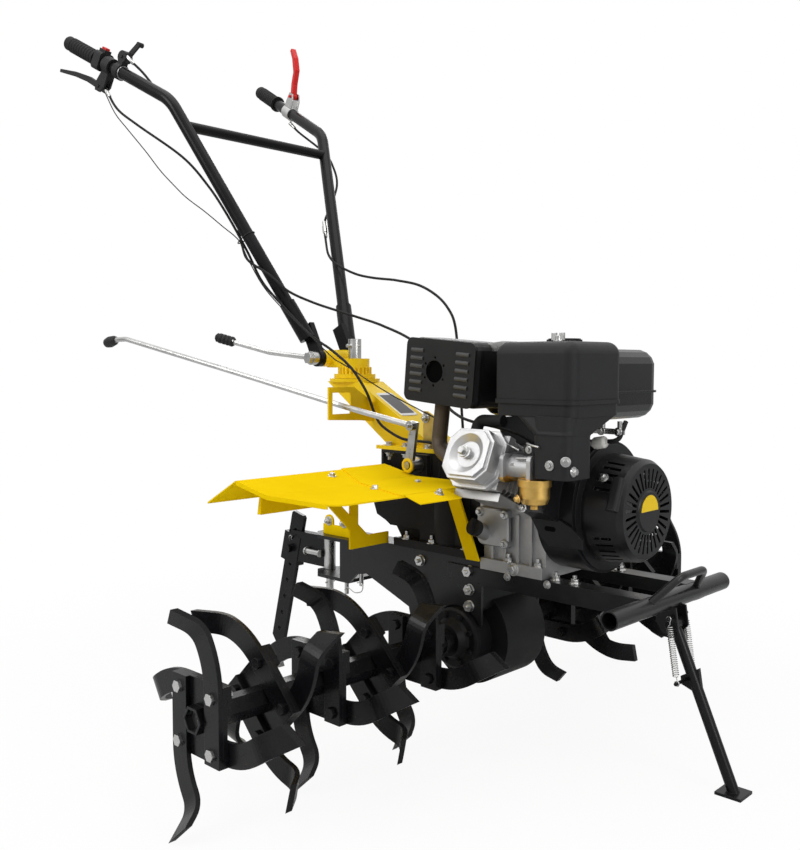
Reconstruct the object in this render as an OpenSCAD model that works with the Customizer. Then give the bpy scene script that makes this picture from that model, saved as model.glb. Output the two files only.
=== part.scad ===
// Motor cultivator: a petrol engine on two rails drives a gear case and a row of ten tine stars.
// X points forward, Y to the left and Z up. The ground is Z = 0. Lengths are in millimetres.

/* [Tines] */
// Height of the tine axle above the ground
axle_z = 182; // [170:1:195]
// Tine stars on each side
star_count = 5; // [3:1:5]
// Distance between neighbouring stars
star_pitch = 121; // [115:1:130]
// Middle of the innermost star from the centre plane
first_star_y = 218; // [210:1:230]
// Thickness of a star's square flange
flange_t = 8; // [6:1:10]
// Distance of a blade's middle line and bolts from the axle
blade_off = 43; // [43:1:46]
// Width of a blade
blade_w = 38; // [34:1:38]
// Thickness of a blade
blade_t = 8; // [6:1:10]
// Radius of a blade's sweep in its own plane
blade_sweep_r = 135; // [125:1:150]
// Angle of that sweep
blade_sweep = 33; // [30:1:36]
// Angle that a blade's tip is turned sideways
blade_bend = 52; // [40:1:55]
// Inner radius of the blade's turn
blade_bend_r = 36; // [30:1:42]
// Length of the blade's tip in the plane of its root
blade_tip = 56; // [48:1:56]
// Width across flats of the hexagon axle
hex_af = 32; // [28:1:33]
// Width across flats of the hexagon hub tube
hub_af = 40; // [39:1:40]
// Diameter of the blade bolts
blade_bolt_d = 10; // [8:1:12]

/* [Frame] */
// Height of the rails' upper face
rail_top = 330; // [325:1:335]
// Outer face of each rail from the centre plane
rail_y = 100; // [98:1:104]
// Height of a rail's upright side
rail_web = 34; // [30:1:38]
// Width of a rail's upper side
rail_flange = 40; // [34:1:44]
// Thickness of the rails' steel
rail_t = 4; // [3:0.5:4]
// Distance of the bumper tube in front of the axle
bumper_x = 409; // [400:1:420]
// Diameter of the bumper tube
bumper_d = 33; // [30:1:36]
// Length of the bumper tube
bumper_len = 402; // [380:1:430]
// Wall of the bumper tube
bumper_wall = 2.5; // [2:0.5:4]
// Bar diameter of the lifting loop
loop_d = 14; // [12:1:16]
// Thickness of the gear case's side plates
plate_t = 6; // [5:1:7]

/* [Stand] */
// Distance of the stand's foot in front of the axle
foot_x = 533; // [520:1:545]
// Diameter of the stand's leg
leg_d = 20; // [18:1:22]
// Side of the square foot plate
foot_side = 46; // [40:1:50]
// Wire diameter of the stand's springs
spring_wire = 2; // [1.6:0.1:2.2]
// Outer diameter of the stand's springs
spring_d = 12; // [11:0.5:13]
// Curls of each spring
spring_curls = 24; // [18:1:26]

/* [Gear case] */
// Half the width of the gear case's block
case_hw = 90; // [88:1:92]
// Half the width of the gear case's lower leg
leg_hw = 62; // [58:1:66]
// Radius of the round lower end
leg_r = 100; // [94:1:104]
// Radius of the axle's side bosses
boss_r = 60; // [56:1:62]
// Radius of the axle's side covers
cover_r = 61; // [58:1:62]
// Diameter of the axle inside the gear case
journal_d = 42; // [40:1:44]
// Height of the upper gear case
upper_h = 123; // [118:1:126]
// Height of the steel bridge under the column
bridge_h = 56; // [52:1:60]

/* [Engine] */
// Height of the crankshaft above the rails
crank_h = 134; // [128:1:138]
// Tilt of the cylinder above level
cyl_tilt = 24; // [22:1:26]
// Rear face of the crankcase from the axle
engine_x = 52; // [50:1:56]
// Length of the crankcase
engine_len = 153; // [150:1:156]
// Distance of the rocker cover's outer face from the crankshaft
head_reach = 262; // [258:1:266]
// Radius of the fan shroud
shroud_r = 122; // [118:1:126]
// Depth of the fan shroud
shroud_len = 78; // [74:1:82]
// Radius of the starter cover's front face
recoil_r = 86; // [82:1:90]
// Depth of the starter cover
recoil_len = 80; // [74:1:84]
// Radial slots in the starter cover
recoil_slots = 30; // [20:1:34]
// Diameter of the crankshaft
crank_d = 30; // [26:1:32]
// Height of the fuel tank's seam above the rails
tank_seam_h = 345; // [340:1:350]
// Length of the fuel tank
tank_len = 300; // [280:1:310]
// Width of the fuel tank
tank_w = 215; // [205:1:220]
// Height of the fuel tank
tank_h = 132; // [124:1:138]

/* [Handle] */
// Height of the handle's tilting pin
pivot_z = 739; // [735:1:745]
// Distance of the swivel column's top behind the axle
swivel_x = 400; // [395:1:405]
// Distance of the tilting pin behind the axle
pivot_x = 470; // [466:1:476]
// Height of the column's top face
column_top = 692; // [688:1:694]
// Outer diameter of the handle tubes
bar_d = 30; // [28:1:32]
// Bend radius of the handle tubes
bar_bend_r = 90; // [70:1:110]
// Length of the grips
grip_len = 125; // [115:1:135]
// Diameter of the grips
grip_d = 38; // [36:1:42]
// Diameter of the tilting pin
pin_d = 16; // [14:1:17]

/* [Hidden] */
$fn = 48;
hull_fn = 32;

// Clearances
run_gap = 0.08;
seat_gap = 0.2;
weld_gap = 0.15;
slip_gap = 0.3;

// Paint colours
yellow = "gold";
black_paint = "dimgray";
black_gloss = "#303030";
cast_silver = "silver";
zinc = "lightgray";
red = "crimson";

// Handle sizes for the right-hand side
pivot = [-pivot_x, 0, pivot_z];
eye_y0 = 43;
eye_t = 14;
eye_r = 20;
bar_root = [-pivot_x, -(eye_y0 + eye_t / 2), pivot_z];
bar_corner = [-785, -240, 1352];
bar_end = [-1140, -308, 1547];
bar_wall = 2;
brace_z = 1289;
brace_d = 25;
brace_at = bar_root + (bar_corner - bar_root) * ((brace_z - pivot_z) / (bar_corner[2] - pivot_z));
boss_hw = eye_y0 - slip_gap;
grip_axis = unit(bar_end - bar_corner);
grip_cap = 5;
perch_at = 172;
switch_at = 138;
switch_len = 26;
throttle_at = 212;
lock_at = 205;

// The part's own frame has its origin on the ground under the middle of its length
front_x = foot_x + foot_side / 2;
clutch_tip = [76, 172];
clutch_w = 12;
clutch_rear = bar_end[0] + grip_axis[0] * (clutch_tip[1] - perch_at)
  + (clutch_tip[0] * grip_axis[2] * grip_axis[0] + clutch_w / 2 * grip_axis[1]) / norm([grip_axis[0], grip_axis[1]]);
frame_shift = (-clutch_rear - front_x) / 2;

// Tine sizes
hub_clear = 0.15;
hub_start_y = 131;
last_star_y = first_star_y + (star_count - 1) * star_pitch;
hub_end_y = last_star_y + flange_t / 2 + 14;
flange_half = blade_off + blade_w / 2;
blade_root = flange_half;
blade_sweep_z = 50;

// Frame sizes
bumper_z = rail_top - bumper_d / 2 - 0.5;
rail_rear_x = -25;
rail_flange_x = 72;
plate_y = rail_y - rail_t - plate_t;
plate_front_x = 60;
plate_top = 345;
plate_bolts = [[-100, 322], [-100, 283], [31, 320], [31, 283], [31, 250]];
plate_bolt_d = 12;
plate_bolt_af = 19;
plate_bolt_head = 8;
plate_bolt_depth = 14;

// Hitch sizes
hitch_front_x = -268;
hitch_rear_x = -510;
hitch_hw = 52;
hitch_top = 322;
hitch_bottom = 222;
hitch_t = 8;
hitch_pin_x = -488;
hitch_pin_d = 18;
hitch_spare_x = -425;
hitch_spare_d = 16;

// Stake sizes
stake_top = [-600, 353];
stake_bottom = [-688, 4];
stake_w = 46;
stake_t = 10;
stake_holes = 7;
stake_hole_d = 11;
stake_axis = stake_top - stake_bottom;
stake_len = norm(stake_axis);
stake_lean = atan2(-stake_axis[0], stake_axis[1]);
stake_holder_z = 264;
stake_holder_h = 74;
stake_gap = 0.6;
stake_wall = 7;
stake_at_holder = stake_bottom[0] + stake_axis[0] * (stake_holder_z - stake_bottom[1]) / stake_axis[1];

// Stand sizes
stand_pin = [418, 272];
stand_pin_d = 12;
stand_ear_y = 16;
stand_ear_t = 4;
foot_t = 5;
leg_axis = [foot_x - stand_pin[0], foot_t - stand_pin[1]];
leg_len = norm(leg_axis);
leg_lean = atan2(leg_axis[0], -leg_axis[1]);
spring_y = 30;
spring_top = [423, 286];
spring_bottom = [441, 176];
spring_pin_d = 6;

// Gear case sizes
case_rear_x = -118;
case_front_x = 60;
case_bottom = 236;
case_top = plate_top;
upper_flange_t = 17;
upper_bottom = case_top + upper_flange_t;
upper_top = upper_bottom + upper_h;
upper_hw = 94;
cover_t = 10;
cover_y = 98;
cover_bolts = 8;
bridge_top = upper_top + bridge_h;
bridge_t = 6;
bridge_rear_x = -250;
bridge_front_x = -100;
bridge_hw = 62;
shift_x = -110;
shift_z = bridge_top - 21;
shift_shaft_d = 14;

// Column sizes
base_t = 8;
base_z = bridge_top + base_t;
column_hw = 40;
column_wall = 4;
top_plate_t = 8;
column_flange_r = 58;
guide_x = -300;
guide_t = 5;
collar_gap = 0.4;
collar_r = 34;
collar_flange_r = 48;
collar_top = 738;
lock_d = 30;
lock_stem_d = 16;
lock_h = 45;

// Engine sizes
engine_z = rail_top;
crank_z = engine_z + crank_h;
engine_front_x = engine_x + engine_len;
bell_r = 92;
bell_x = 26;
shroud_x = engine_front_x;
shroud_front_x = shroud_x + shroud_len;
shroud_wall = 3;
recoil_x = shroud_front_x;
recoil_front_x = recoil_x + recoil_len;
recoil_wall = 3;
cyl_start = 98;
fin_pitch = 13;
fin_count = 8;
barrel_x0 = 96;
barrel_x1 = 188;
rocker_x = 138;
rocker_hw = 58;
rocker_t = 42;
head_face = head_reach - rocker_t;
muffler_c = [38, -142, 711];
muffler_size = [172, 104, 122];
muffler_tilt = 5;
guard_gap = 4;
guard_t = 2;
filter_x0 = 175;
filter_x1 = 342;
filter_y0 = -215;
filter_y1 = -56;
filter_seam = 666;
filter_top = 765;
filter_bottom = 638;
carb_y = -186;
carb_z = 546;
carb_d = 46;
neck_x0 = 262;
neck_x1 = 336;
tank_seam_z = engine_z + tank_seam_h;
tank_x1 = 300;
tank_y0 = -52;
tank_c = [tank_x1 - tank_len / 2, tank_y0 + tank_w / 2];
tank_bottom = tank_seam_z - 52;
tank_top = tank_bottom + tank_h;
cap_x = tank_c[0] - 20;
cap_y = tank_c[1] + 18;
cap_r = 32;
oil_at = [70, -117, 409];
oil_lift = 25;

// Control rod points, hand chosen
rod_d = 12;
lever_top = [-95, 602];
lever_y = -118;
lever_t = 8;
rod_y = lever_y - lever_t - rod_d / 2 - slip_gap;
rod_points = [
  [lever_top[0], rod_y, lever_top[1]], [guide_x, -140, 637], [-500, -200, 689],
  [-902, -300, 785], [-945, -302, 784]
];
rod_knob = [-992, -302, 776];

// Cable routes, hand chosen: beside the handle tube at a distance up it, then free to the engine and clutch
cable_d = 6;
bar_up = unit(bar_corner - bar_root);
bar_in = unit([0, 1, 0] - bar_up[1] * bar_up);
bar_back = cross(bar_up, bar_in);
function by_bar(s, inward, behind) = bar_root + bar_up * s + bar_in * inward + bar_back * behind;
function flip_all(p) = [for (q = p) flip_y(q)];
cable_routes_upper = [
  concat(
    [[-1004, -282, 1404], [-968, -274, 1356], [-905, -256, 1310]],
    [by_bar(600, 8, 66), by_bar(500, 10, 44), by_bar(410, 12, 26), by_bar(310, 16, 24), by_bar(236, 30, 6),
      by_bar(186, 36, -26)],
    [[-446, -52, 846], [-380, -34, 806], [-330, -22, 772]]
  ),
  concat(
    [[-923, -266, 1470], [-886, -240, 1424]],
    [by_bar(690, 24, 36), by_bar(600, 22, 34), by_bar(490, 24, 22), by_bar(400, 26, 10), by_bar(310, 28, 6),
      by_bar(226, 38, -16), by_bar(180, 46, -46)],
    [[-430, -22, 872], [-374, 4, 826], [-330, 22, 788]]
  ),
  concat(
    [[-953, 272, 1414], [-905, 256, 1356]],
    flip_all([by_bar(640, 20, 40), by_bar(520, 20, 26), by_bar(400, 20, 22), by_bar(300, 26, 6),
      by_bar(252, 24, -22)]),
    [[-480, 112, 958], [-410, 96, 944], [-352, 84, 922], [-330, 80, 910]]
  )
];
cable_routes_lower = [
  [[-328.4, -22, 772], [-300, -18, 742], [-250, -16, 692], [-196, -20, 645], [-150, -36, 612],
    [-112, -54, 586], [-86, -64, 556], [-78, -66, 520], [-78, -66, 486]],
  [[-328.4, 22, 788], [-285, 24, 762], [-222, 20, 716], [-150, 2, 668], [-95, -26, 640],
    [-40, -52, 622], [20, -74, 612], [90, -84, 606], [160, -76, 592], [184, -62, 566], [194, -60, 560], [204.6, -60, 560]],
  [[-328.4, 80, 910], [-272, 80, 892], [-206, 82, 862], [-170, 84, 806], [-158, 86, 730],
    [-150, 88, 640], [-144, 89, 560], [-142, 88, 486]]
];
cable_sides = 8;
bar_sides = 20;
bend_steps = 7;
cable_steps = 3;

function unit(v) = v / norm(v);
function flip_y(p) = [p[0], -p[1], p[2]];

// A smooth curve through hand-chosen points, with a few steps between each two
function curve_point(a, b, c, d, t) =
  0.5 * ((2 * b) + (c - a) * t + (2 * a - 5 * b + 4 * c - d) * t * t + (3 * b - a - 3 * c + d) * t * t * t);
function curve(p, steps) = concat(
  [for (i = [0 : len(p) - 2], s = [0 : steps - 1])
    curve_point(p[max(i - 1, 0)], p[i], p[i + 1], p[min(i + 2, len(p) - 1)], s / steps)],
  [p[len(p) - 1]]
);

// Directions along a path and one side direction at each point that never twists round it
function path_dirs(p) = [for (i = [0 : len(p) - 1]) unit(p[min(i + 1, len(p) - 1)] - p[max(i - 1, 0)])];
function side_dir(last, dir) = unit(last - dir * (last * dir));
function path_sides(dirs) = [
  for (i = 0, s = side_dir([0.31, 0.92, 0.24], dirs[0]); i < len(dirs);
    i = i + 1, s = side_dir(s, dirs[min(i, len(dirs) - 1)])) s
];

// A round tube swept along a list of points
module swept(p, d, sides) {
  dirs = path_dirs(p);
  outs = path_sides(dirs);
  count = len(p);
  rings = [for (i = [0 : count - 1], k = [0 : sides - 1])
    p[i] + d / 2 * (cos(360 * k / sides) * outs[i] + sin(360 * k / sides) * cross(dirs[i], outs[i]))];
  walls = [for (i = [0 : count - 2], k = [0 : sides - 1], half = [0, 1])
    let (a = i * sides + k, b = i * sides + (k + 1) % sides)
      half == 0 ? [a, a + sides, b] : [b, a + sides, b + sides]];
  first = [for (k = [1 : sides - 2]) [0, k, k + 1]];
  last = [for (k = [1 : sides - 2]) (count - 1) * sides * [1, 1, 1] + [0, k + 1, k]];
  polyhedron(rings, concat(walls, first, last));
}

// Children stand with Z along the line from a towards b and X turned down
module along(a, b) {
  d = b - a;
  translate(a) rotate([0, acos(d[2] / norm(d)), atan2(d[1], d[0])]) children();
}

module rod(a, b, d) {
  along(a, b) cylinder(d = d, h = norm(b - a));
}

// Points of a bent bar: straight runs with a round arc at each corner
function arc_points(a, corner, b, r) =
  let (
    u = unit(corner - a),
    v = unit(b - corner),
    turn = acos(u * v),
    inward = unit(v - u * (u * v)),
    centre = corner - u * r * tan(turn / 2) + inward * r
  )
  [for (k = [0 : bend_steps]) let (t = turn * k / bend_steps)
    centre + r * (sin(t) * u - cos(t) * inward)];
function bend_path(p, r) = concat(
  [p[0]],
  [for (i = [1 : len(p) - 2]) each arc_points(p[i - 1], p[i], p[i + 1], r)],
  [p[len(p) - 1]]
);

// A round bar through a list of corners, all bent to one radius
module bent_bar(p, d, r) {
  swept(bend_path(p, r), d, bar_sides);
}

module mirror_y() {
  mirror([0, 1, 0]) children();
}

module both_sides() {
  children();
  mirror_y() children();
}

// A flat outline in X and Z, made solid from y0 to y1
module slab_y(y0, y1) {
  translate([0, y1, 0]) rotate([90, 0, 0]) linear_extrude(y1 - y0) children();
}

// A flat outline in Y and Z, made solid from x0 to x1
module slab_x(x0, x1) {
  translate([x0, 0, 0]) rotate([90, 0, 90]) linear_extrude(x1 - x0) children();
}

module tube_y(y0, y1, d) {
  translate([0, y0, 0]) rotate([-90, 0, 0]) cylinder(d = d, h = y1 - y0);
}

module tube_x(x0, x1, d) {
  translate([x0, 0, 0]) rotate([0, 90, 0]) cylinder(d = d, h = x1 - x0);
}

// A box with rounded upright edges and rounded top and bottom edges
module soft_box(size, r) {
  hull()
    for (x = [-1, 1], y = [-1, 1], z = [-1, 1])
      translate([x * (size[0] / 2 - r), y * (size[1] / 2 - r), z * (size[2] / 2 - r)])
        sphere(r = r, $fn = hull_fn / 2);
}

// A lid: rounded upper edges over a flat foot
module lid(size, r) {
  hull()
    for (x = [-1, 1], y = [-1, 1])
      translate([x * (size[0] / 2 - r), y * (size[1] / 2 - r), 0]) union() {
        cylinder(r = r, h = size[2] - r, $fn = hull_fn);
        translate([0, 0, size[2] - r]) sphere(r = r, $fn = hull_fn);
      }
}

module rounded_plan(w, h, r) {
  square([w - 2 * r, h], center = true);
  square([w, h - 2 * r], center = true);
  for (x = [-1, 1], y = [-1, 1])
    translate([x * (w / 2 - r), y * (h / 2 - r)]) circle(r = r);
}

module hex(af, h) {
  cylinder(d = af / cos(30), h = h, $fn = 6);
}

module place() {
  translate([frame_shift, 0, 0]) children();
}

// Rails: steel angle from the gear case to the bumper
module rail() {
  difference() {
    union() {
      translate([rail_rear_x, -rail_y, rail_top - rail_web])
        cube([bumper_x - rail_rear_x, rail_t, rail_web]);
      translate([rail_flange_x, -rail_y, rail_top - rail_t])
        cube([bumper_x - rail_flange_x, rail_flange, rail_t]);
    }
    translate([bumper_x, 0, bumper_z])
      tube_y(-bumper_len, bumper_len, bumper_d + 2 * weld_gap);
    for (at = plate_bolts)
      translate([at[0], 0, at[1]])
        tube_y(-rail_y - 1, -rail_y + rail_t + 1, plate_bolt_d + slip_gap);
    for (x = [engine_x + 26, engine_front_x - 26])
      translate([x, -rail_y + rail_flange / 2 + 4, rail_top - rail_t - 1])
        cylinder(d = 11, h = rail_t + 2);
  }
}

module rail_right() {
  color(black_paint) place() rail();
}

module rail_left() {
  color(black_paint) place() mirror_y() rail();
}

// Bumper: an open tube with two ears for the stand
module front_bumper() {
  color(black_paint) place() union() {
    translate([bumper_x, 0, bumper_z]) difference() {
      tube_y(-bumper_len / 2, bumper_len / 2, bumper_d);
      tube_y(-bumper_len / 2 - 1, bumper_len / 2 + 1, bumper_d - 2 * bumper_wall);
    }
    both_sides() stand_ear();
  }
}

module stand_ear() {
  reach = bumper_d / 2 + 2;
  difference() {
    union() {
      slab_y(stand_ear_y, stand_ear_y + stand_ear_t)
        polygon([
          [bumper_x - reach + 6, bumper_z - 9], [bumper_x + reach + 3, bumper_z - 9],
          [stand_pin[0] + 18, stand_pin[1] - 4], [stand_pin[0] + 8, stand_pin[1] - 15],
          [stand_pin[0] - 12, stand_pin[1] - 15], [bumper_x - reach + 2, stand_pin[1] + 4]
        ]);
      translate([spring_top[0], 0, spring_top[1]])
        tube_y(stand_ear_y + stand_ear_t - 1, spring_y + spring_d / 2, spring_pin_d);
    }
    translate([bumper_x, 0, bumper_z])
      tube_y(0, bumper_len, bumper_d - 2 * bumper_wall + 1);
    translate([stand_pin[0], 0, stand_pin[1]])
      tube_y(0, bumper_len, stand_pin_d + 2 * run_gap);
  }
}

// Lifting loop: a bent round bar welded on the bumper and leaning forward
loop_hw = 92;
loop_top_hw = 42;
loop_rise = 68;
loop_lean = 38;
loop_bend_r = 26;
module lift_loop() {
  foot = [0, -loop_hw, 0];
  corner = [0, -loop_top_hw, loop_rise];
  color(black_paint) place() difference() {
    translate([bumper_x, 0, bumper_z]) rotate([0, loop_lean, 0])
      bent_bar([foot, corner, flip_y(corner), flip_y(foot)], loop_d, loop_bend_r);
    translate([bumper_x, 0, bumper_z])
      tube_y(-bumper_len, bumper_len, bumper_d + 2 * weld_gap);
  }
}

// Side plates: they carry the gear case and reach back to the hitch
module side_plate() {
  difference() {
    slab_y(-plate_y - plate_t, -plate_y) difference() {
      polygon([
        [hitch_front_x - 40, plate_top - 5], [hitch_front_x - 35, plate_top], [plate_front_x, plate_top],
        [plate_front_x, 215], [-70, 140], [-116, 140], [-134, 219], [-261, 268], [hitch_front_x - 40, 272]
      ]);
      translate([0, axle_z]) circle(r = boss_r + 4);
    }
    for (at = plate_bolts)
      translate([at[0], 0, at[1]])
        tube_y(-plate_y - plate_t - 1, -plate_y + 1, plate_bolt_d + slip_gap);
  }
}

module side_plate_right() {
  color(black_paint) place() side_plate();
}

module side_plate_left() {
  color(black_paint) place() mirror_y() side_plate();
}

// Hitch: a welded box behind the side plates with pin holes through its top and bottom plates
module hitch_box() {
  wing = 12;
  color(black_paint) place() difference() {
    union() {
      for (level = [[hitch_bottom, hitch_front_x - 98], [hitch_top - hitch_t, hitch_front_x]])
        translate([0, 0, level[0]]) linear_extrude(hitch_t) polygon([
          [level[1], -hitch_hw], [hitch_rear_x + 36, -hitch_hw], [hitch_rear_x, -20],
          [hitch_rear_x, 20], [hitch_rear_x + 36, hitch_hw], [level[1], hitch_hw]
        ]);
      translate([hitch_front_x - 60, -hitch_hw, hitch_bottom + 34])
        cube([hitch_t, 2 * hitch_hw, hitch_top - hitch_bottom - 34]);
      translate([hitch_front_x - wing, -plate_y, hitch_bottom + 50])
        cube([wing, 2 * plate_y, hitch_top - hitch_bottom - 50]);
      both_sides() slab_y(hitch_hw - hitch_t, hitch_hw) polygon([
        [hitch_front_x - 128, hitch_bottom], [hitch_front_x - 98, hitch_bottom],
        [hitch_front_x - 72, hitch_bottom + 26], [hitch_front_x, hitch_bottom + 40],
        [hitch_front_x, hitch_top], [hitch_front_x - 128, hitch_top]
      ]);
    }
    for (at = [[hitch_pin_x, hitch_pin_d], [hitch_spare_x, hitch_spare_d]])
      translate([at[0], 0, hitch_bottom - 1])
        cylinder(d = at[1] + slip_gap, h = hitch_top - hitch_bottom + 2);
  }
}

// Gear case: cast block with a round-ended leg down to the axle
module gear_case() {
  color(black_paint) place() difference() {
    union() {
      slab_y(-case_hw, case_hw)
        polygon([
          [case_rear_x, case_top], [case_front_x, case_top], [case_front_x, case_bottom + 12],
          [case_front_x - 12, case_bottom + 4], [case_rear_x + 20, case_bottom + 4],
          [case_rear_x, case_bottom + 24]
        ]);
      slab_y(-leg_hw, leg_hw) union() {
        polygon([
          [case_rear_x + 14, case_bottom + 30], [case_front_x - 4, case_bottom + 30],
          [leg_r - 6, axle_z + 10], [-leg_r + 2, axle_z + 10]
        ]);
        translate([0, axle_z]) circle(r = leg_r);
      }
      translate([0, 0, axle_z]) tube_y(-cover_y, cover_y, 2 * boss_r);
    }
    translate([0, 0, axle_z])
      tube_y(-cover_y - 1, cover_y + 1, journal_d + 2 * run_gap);
    both_sides()
      for (at = plate_bolts)
        translate([at[0], 0, at[1]])
          tube_y(case_hw - plate_bolt_depth - 1, case_hw + 1, plate_bolt_d + slip_gap);
  }
}

// Axle covers: round cast covers with a nose, a rim and a ring of bolts
module axle_covers() {
  color(black_paint) place() both_sides() translate([0, 0, axle_z])
    rotate([90, 0, 0]) axle_cover();
}

module axle_cover() {
  inner = journal_d / 2 + run_gap;
  nose_r = 38;
  nose = hub_start_y - slip_gap - cover_y;
  rim = 5;
  translate([0, 0, cover_y])
    rotate_extrude()
      polygon([
        [inner, 0], [cover_r, 0], [cover_r, cover_t], [cover_r - rim, cover_t + 3],
        [nose_r + 5, cover_t + 3], [nose_r, cover_t + 8], [nose_r - 6, nose], [inner, nose]
      ]);
  for (k = [0 : cover_bolts - 1])
    rotate(360 * (k + 0.5) / cover_bolts)
      translate([(cover_r + nose_r) / 2 - 1, 0, cover_y + cover_t]) hex(10, 9);
}

// Upper gear case: cast housing with an overhung rear, bolt pockets, round flanks and the engine bell
module upper_gear_case() {
  rear = bridge_rear_x + 10;
  front = 28;
  color(black_paint) place() difference() {
    union() {
      translate([-172, -rail_y - 3, case_top])
        cube([172 + 42, 2 * rail_y + 6, upper_flange_t]);
      slab_y(-upper_hw, upper_hw)
        polygon([
          [rear + 70, upper_bottom - 2], [front, upper_bottom - 2], [front, upper_top - 14],
          [front - 14, upper_top], [rear, upper_top], [rear, upper_bottom + 64], [rear + 9, upper_bottom + 42],
          [rear + 36, upper_bottom + 31], [rear + 54, upper_bottom + 20]
        ]);
      both_sides() translate([-38, -upper_hw + 53, upper_bottom - 2])
        cylinder(r = 60, h = upper_h - 22);
      translate([0, 0, crank_z]) tube_x(bell_x - 10, engine_x, 2 * bell_r);
      translate([shift_x - 24, -upper_hw, upper_top - 2])
        cube([48, 10, shift_z - upper_top + 22]);
    }
    both_sides() translate([rear + 50, -upper_hw - 1, upper_bottom - 1])
      cube([85, 15, 24]);
    translate([0, 0, crank_z]) tube_x(bell_x + 6, engine_x + 1, 2 * (bell_r - 8));
    translate([shift_x, 0, shift_z])
      tube_y(-upper_hw - 1, -upper_hw + 11, shift_shaft_d + 2 * run_gap);
  }
}

// Column bracket: a bent steel bridge that carries the column's base plate
module column_bracket() {
  foot = 26;
  color(black_paint) place() difference() {
    slab_y(-bridge_hw, bridge_hw)
      polygon([
        [bridge_rear_x, upper_top], [bridge_rear_x + foot, upper_top],
        [bridge_rear_x + foot, upper_top + bridge_t], [bridge_rear_x + bridge_t, upper_top + bridge_t],
        [bridge_rear_x + bridge_t, bridge_top - bridge_t], [bridge_front_x - bridge_t, bridge_top - bridge_t],
        [bridge_front_x - bridge_t, upper_top + bridge_t], [bridge_front_x - foot, upper_top + bridge_t],
        [bridge_front_x - foot, upper_top], [bridge_front_x, upper_top],
        [bridge_front_x, bridge_top], [bridge_rear_x, bridge_top]
      ]);
    translate([bridge_front_x - 30, -20, upper_top + 14]) cube([40, 40, 22]);
  }
}

// Steering column: base plate, leaning box section, round top plate and the shift rod's guide
module steering_column() {
  base_x0 = bridge_rear_x - 13;
  base_x1 = bridge_front_x + 7;
  under = column_top - top_plate_t;
  wall_x = column_wall * 1.5;
  color(yellow) place() difference() {
    union() {
      translate([base_x0, -bridge_hw - 3, bridge_top])
        cube([base_x1 - base_x0, 2 * bridge_hw + 6, base_t]);
      slab_y(-column_hw, column_hw)
        polygon([
          [base_x0 + 12, base_z - 1], [base_x1 - 14, base_z - 1],
          [-swivel_x + 52, under + 1], [-swivel_x - 50, under + 1]
        ]);
      translate([-swivel_x, 0, under])
        cylinder(r = column_flange_r, h = top_plate_t);
      rod_guide();
    }
    slab_y(-column_hw + column_wall, column_hw - column_wall)
      polygon([
        [base_x0 + 12 + wall_x, base_z + 2], [base_x1 - 14 - wall_x, base_z + 2],
        [-swivel_x + 52 - wall_x, under - 2], [-swivel_x - 50 + wall_x, under - 2]
      ]);
    translate([-swivel_x, 0, under - 4])
      cylinder(d = 24 + 2 * run_gap, h = top_plate_t + 6);
  }
}

module rod_guide() {
  wide = 132;
  difference() {
    slab_x(guide_x - guide_t / 2, guide_x + guide_t / 2) difference() {
      polygon([
        [-column_hw + 1, 598], [-column_hw - 40, 602], [-column_hw - wide, 606],
        [-column_hw - wide, 676], [-column_hw - 60, 676], [-column_hw + 1, 640]
      ]);
      translate([-172 + 10, 618]) square([54, 46]);
    }
  }
}

// Fenders: bent sheet, a wedge-shaped inner panel with a front tab, a lower rear apron and a folded outer lip
fender_t = 2.5;
fender_y0 = 118;
fender_y1 = 500;
fender_seam = [205, 345];
fender_z = 497;
fender_front = 84;
fender_tab = 122;
module fender_line(lift) {
  polygon([
    [-272, 467 + lift], [-184, 515 + lift], [-95, fender_z + lift], [fender_front, fender_z + lift],
    [fender_front, fender_z - fender_t + lift], [-95, fender_z - fender_t + lift],
    [-184, 515 - 1.1 * fender_t + lift], [-271, 467 - 1.1 * fender_t + lift]
  ]);
}

module fender() {
  corner = 34;
  intersection() {
    union() {
      slab_y(-fender_y1, 15 - fender_seam[0]) fender_line(0);
      intersection() {
        slab_y(-fender_seam[1], -fender_y0) fender_line(fender_t);
        translate([0, 0, 400]) linear_extrude(200) polygon([
          [-272, 0], [-272, -fender_seam[0]], [fender_front, -fender_seam[1]], [fender_front, 0]
        ]);
      }
      slab_y(6 - fender_seam[1], 115 - fender_seam[1])
        polygon([
          [fender_front - 8, fender_z + 2.1], [fender_front, fender_z + 2.1], [fender_tab, fender_z - 9],
          [fender_tab, fender_z - 10.7], [fender_front, fender_z + 0.4], [fender_front - 8, fender_z + 0.4]
        ]);
      slab_y(-fender_y1, -fender_y1 + fender_t)
        polygon([
          [-184, 515 - 8], [-95, fender_z - 8], [fender_front, fender_z - 8],
          [fender_front, fender_z - 1], [-95, fender_z - 1], [-184, 515 - 1]
        ]);
      slab_y(-fender_y1 + 58, -fender_y0 - 30)
        polygon([[-196, 446], [-186, 446], [-180, 512], [-184, 512]]);
    }
    union() {
      translate([-300, -fender_y1 - 1, 400])
        cube([300 + fender_front - corner, fender_y1, 200]);
      translate([-300, -fender_y1 + corner, 400])
        cube([301 + fender_tab, fender_y1, 200]);
      translate([fender_front - corner, -fender_y1 + corner, 400])
        cylinder(r = corner, h = 200);
    }
  }
}

module fender_right() {
  color(yellow) place() fender();
}

module fender_left() {
  color(yellow) place() mirror_y() fender();
}

// Fender struts: flat bars from the side plates and the gear case flange, and the lug plate on the hitch
strut_w = 24;
strut_t = 5;
strut_x = -205;
module fender_struts() {
  color(yellow) place() union() {
    both_sides() rear_strut();
    both_sides() front_strut();
    hitch_lug();
  }
}

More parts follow.
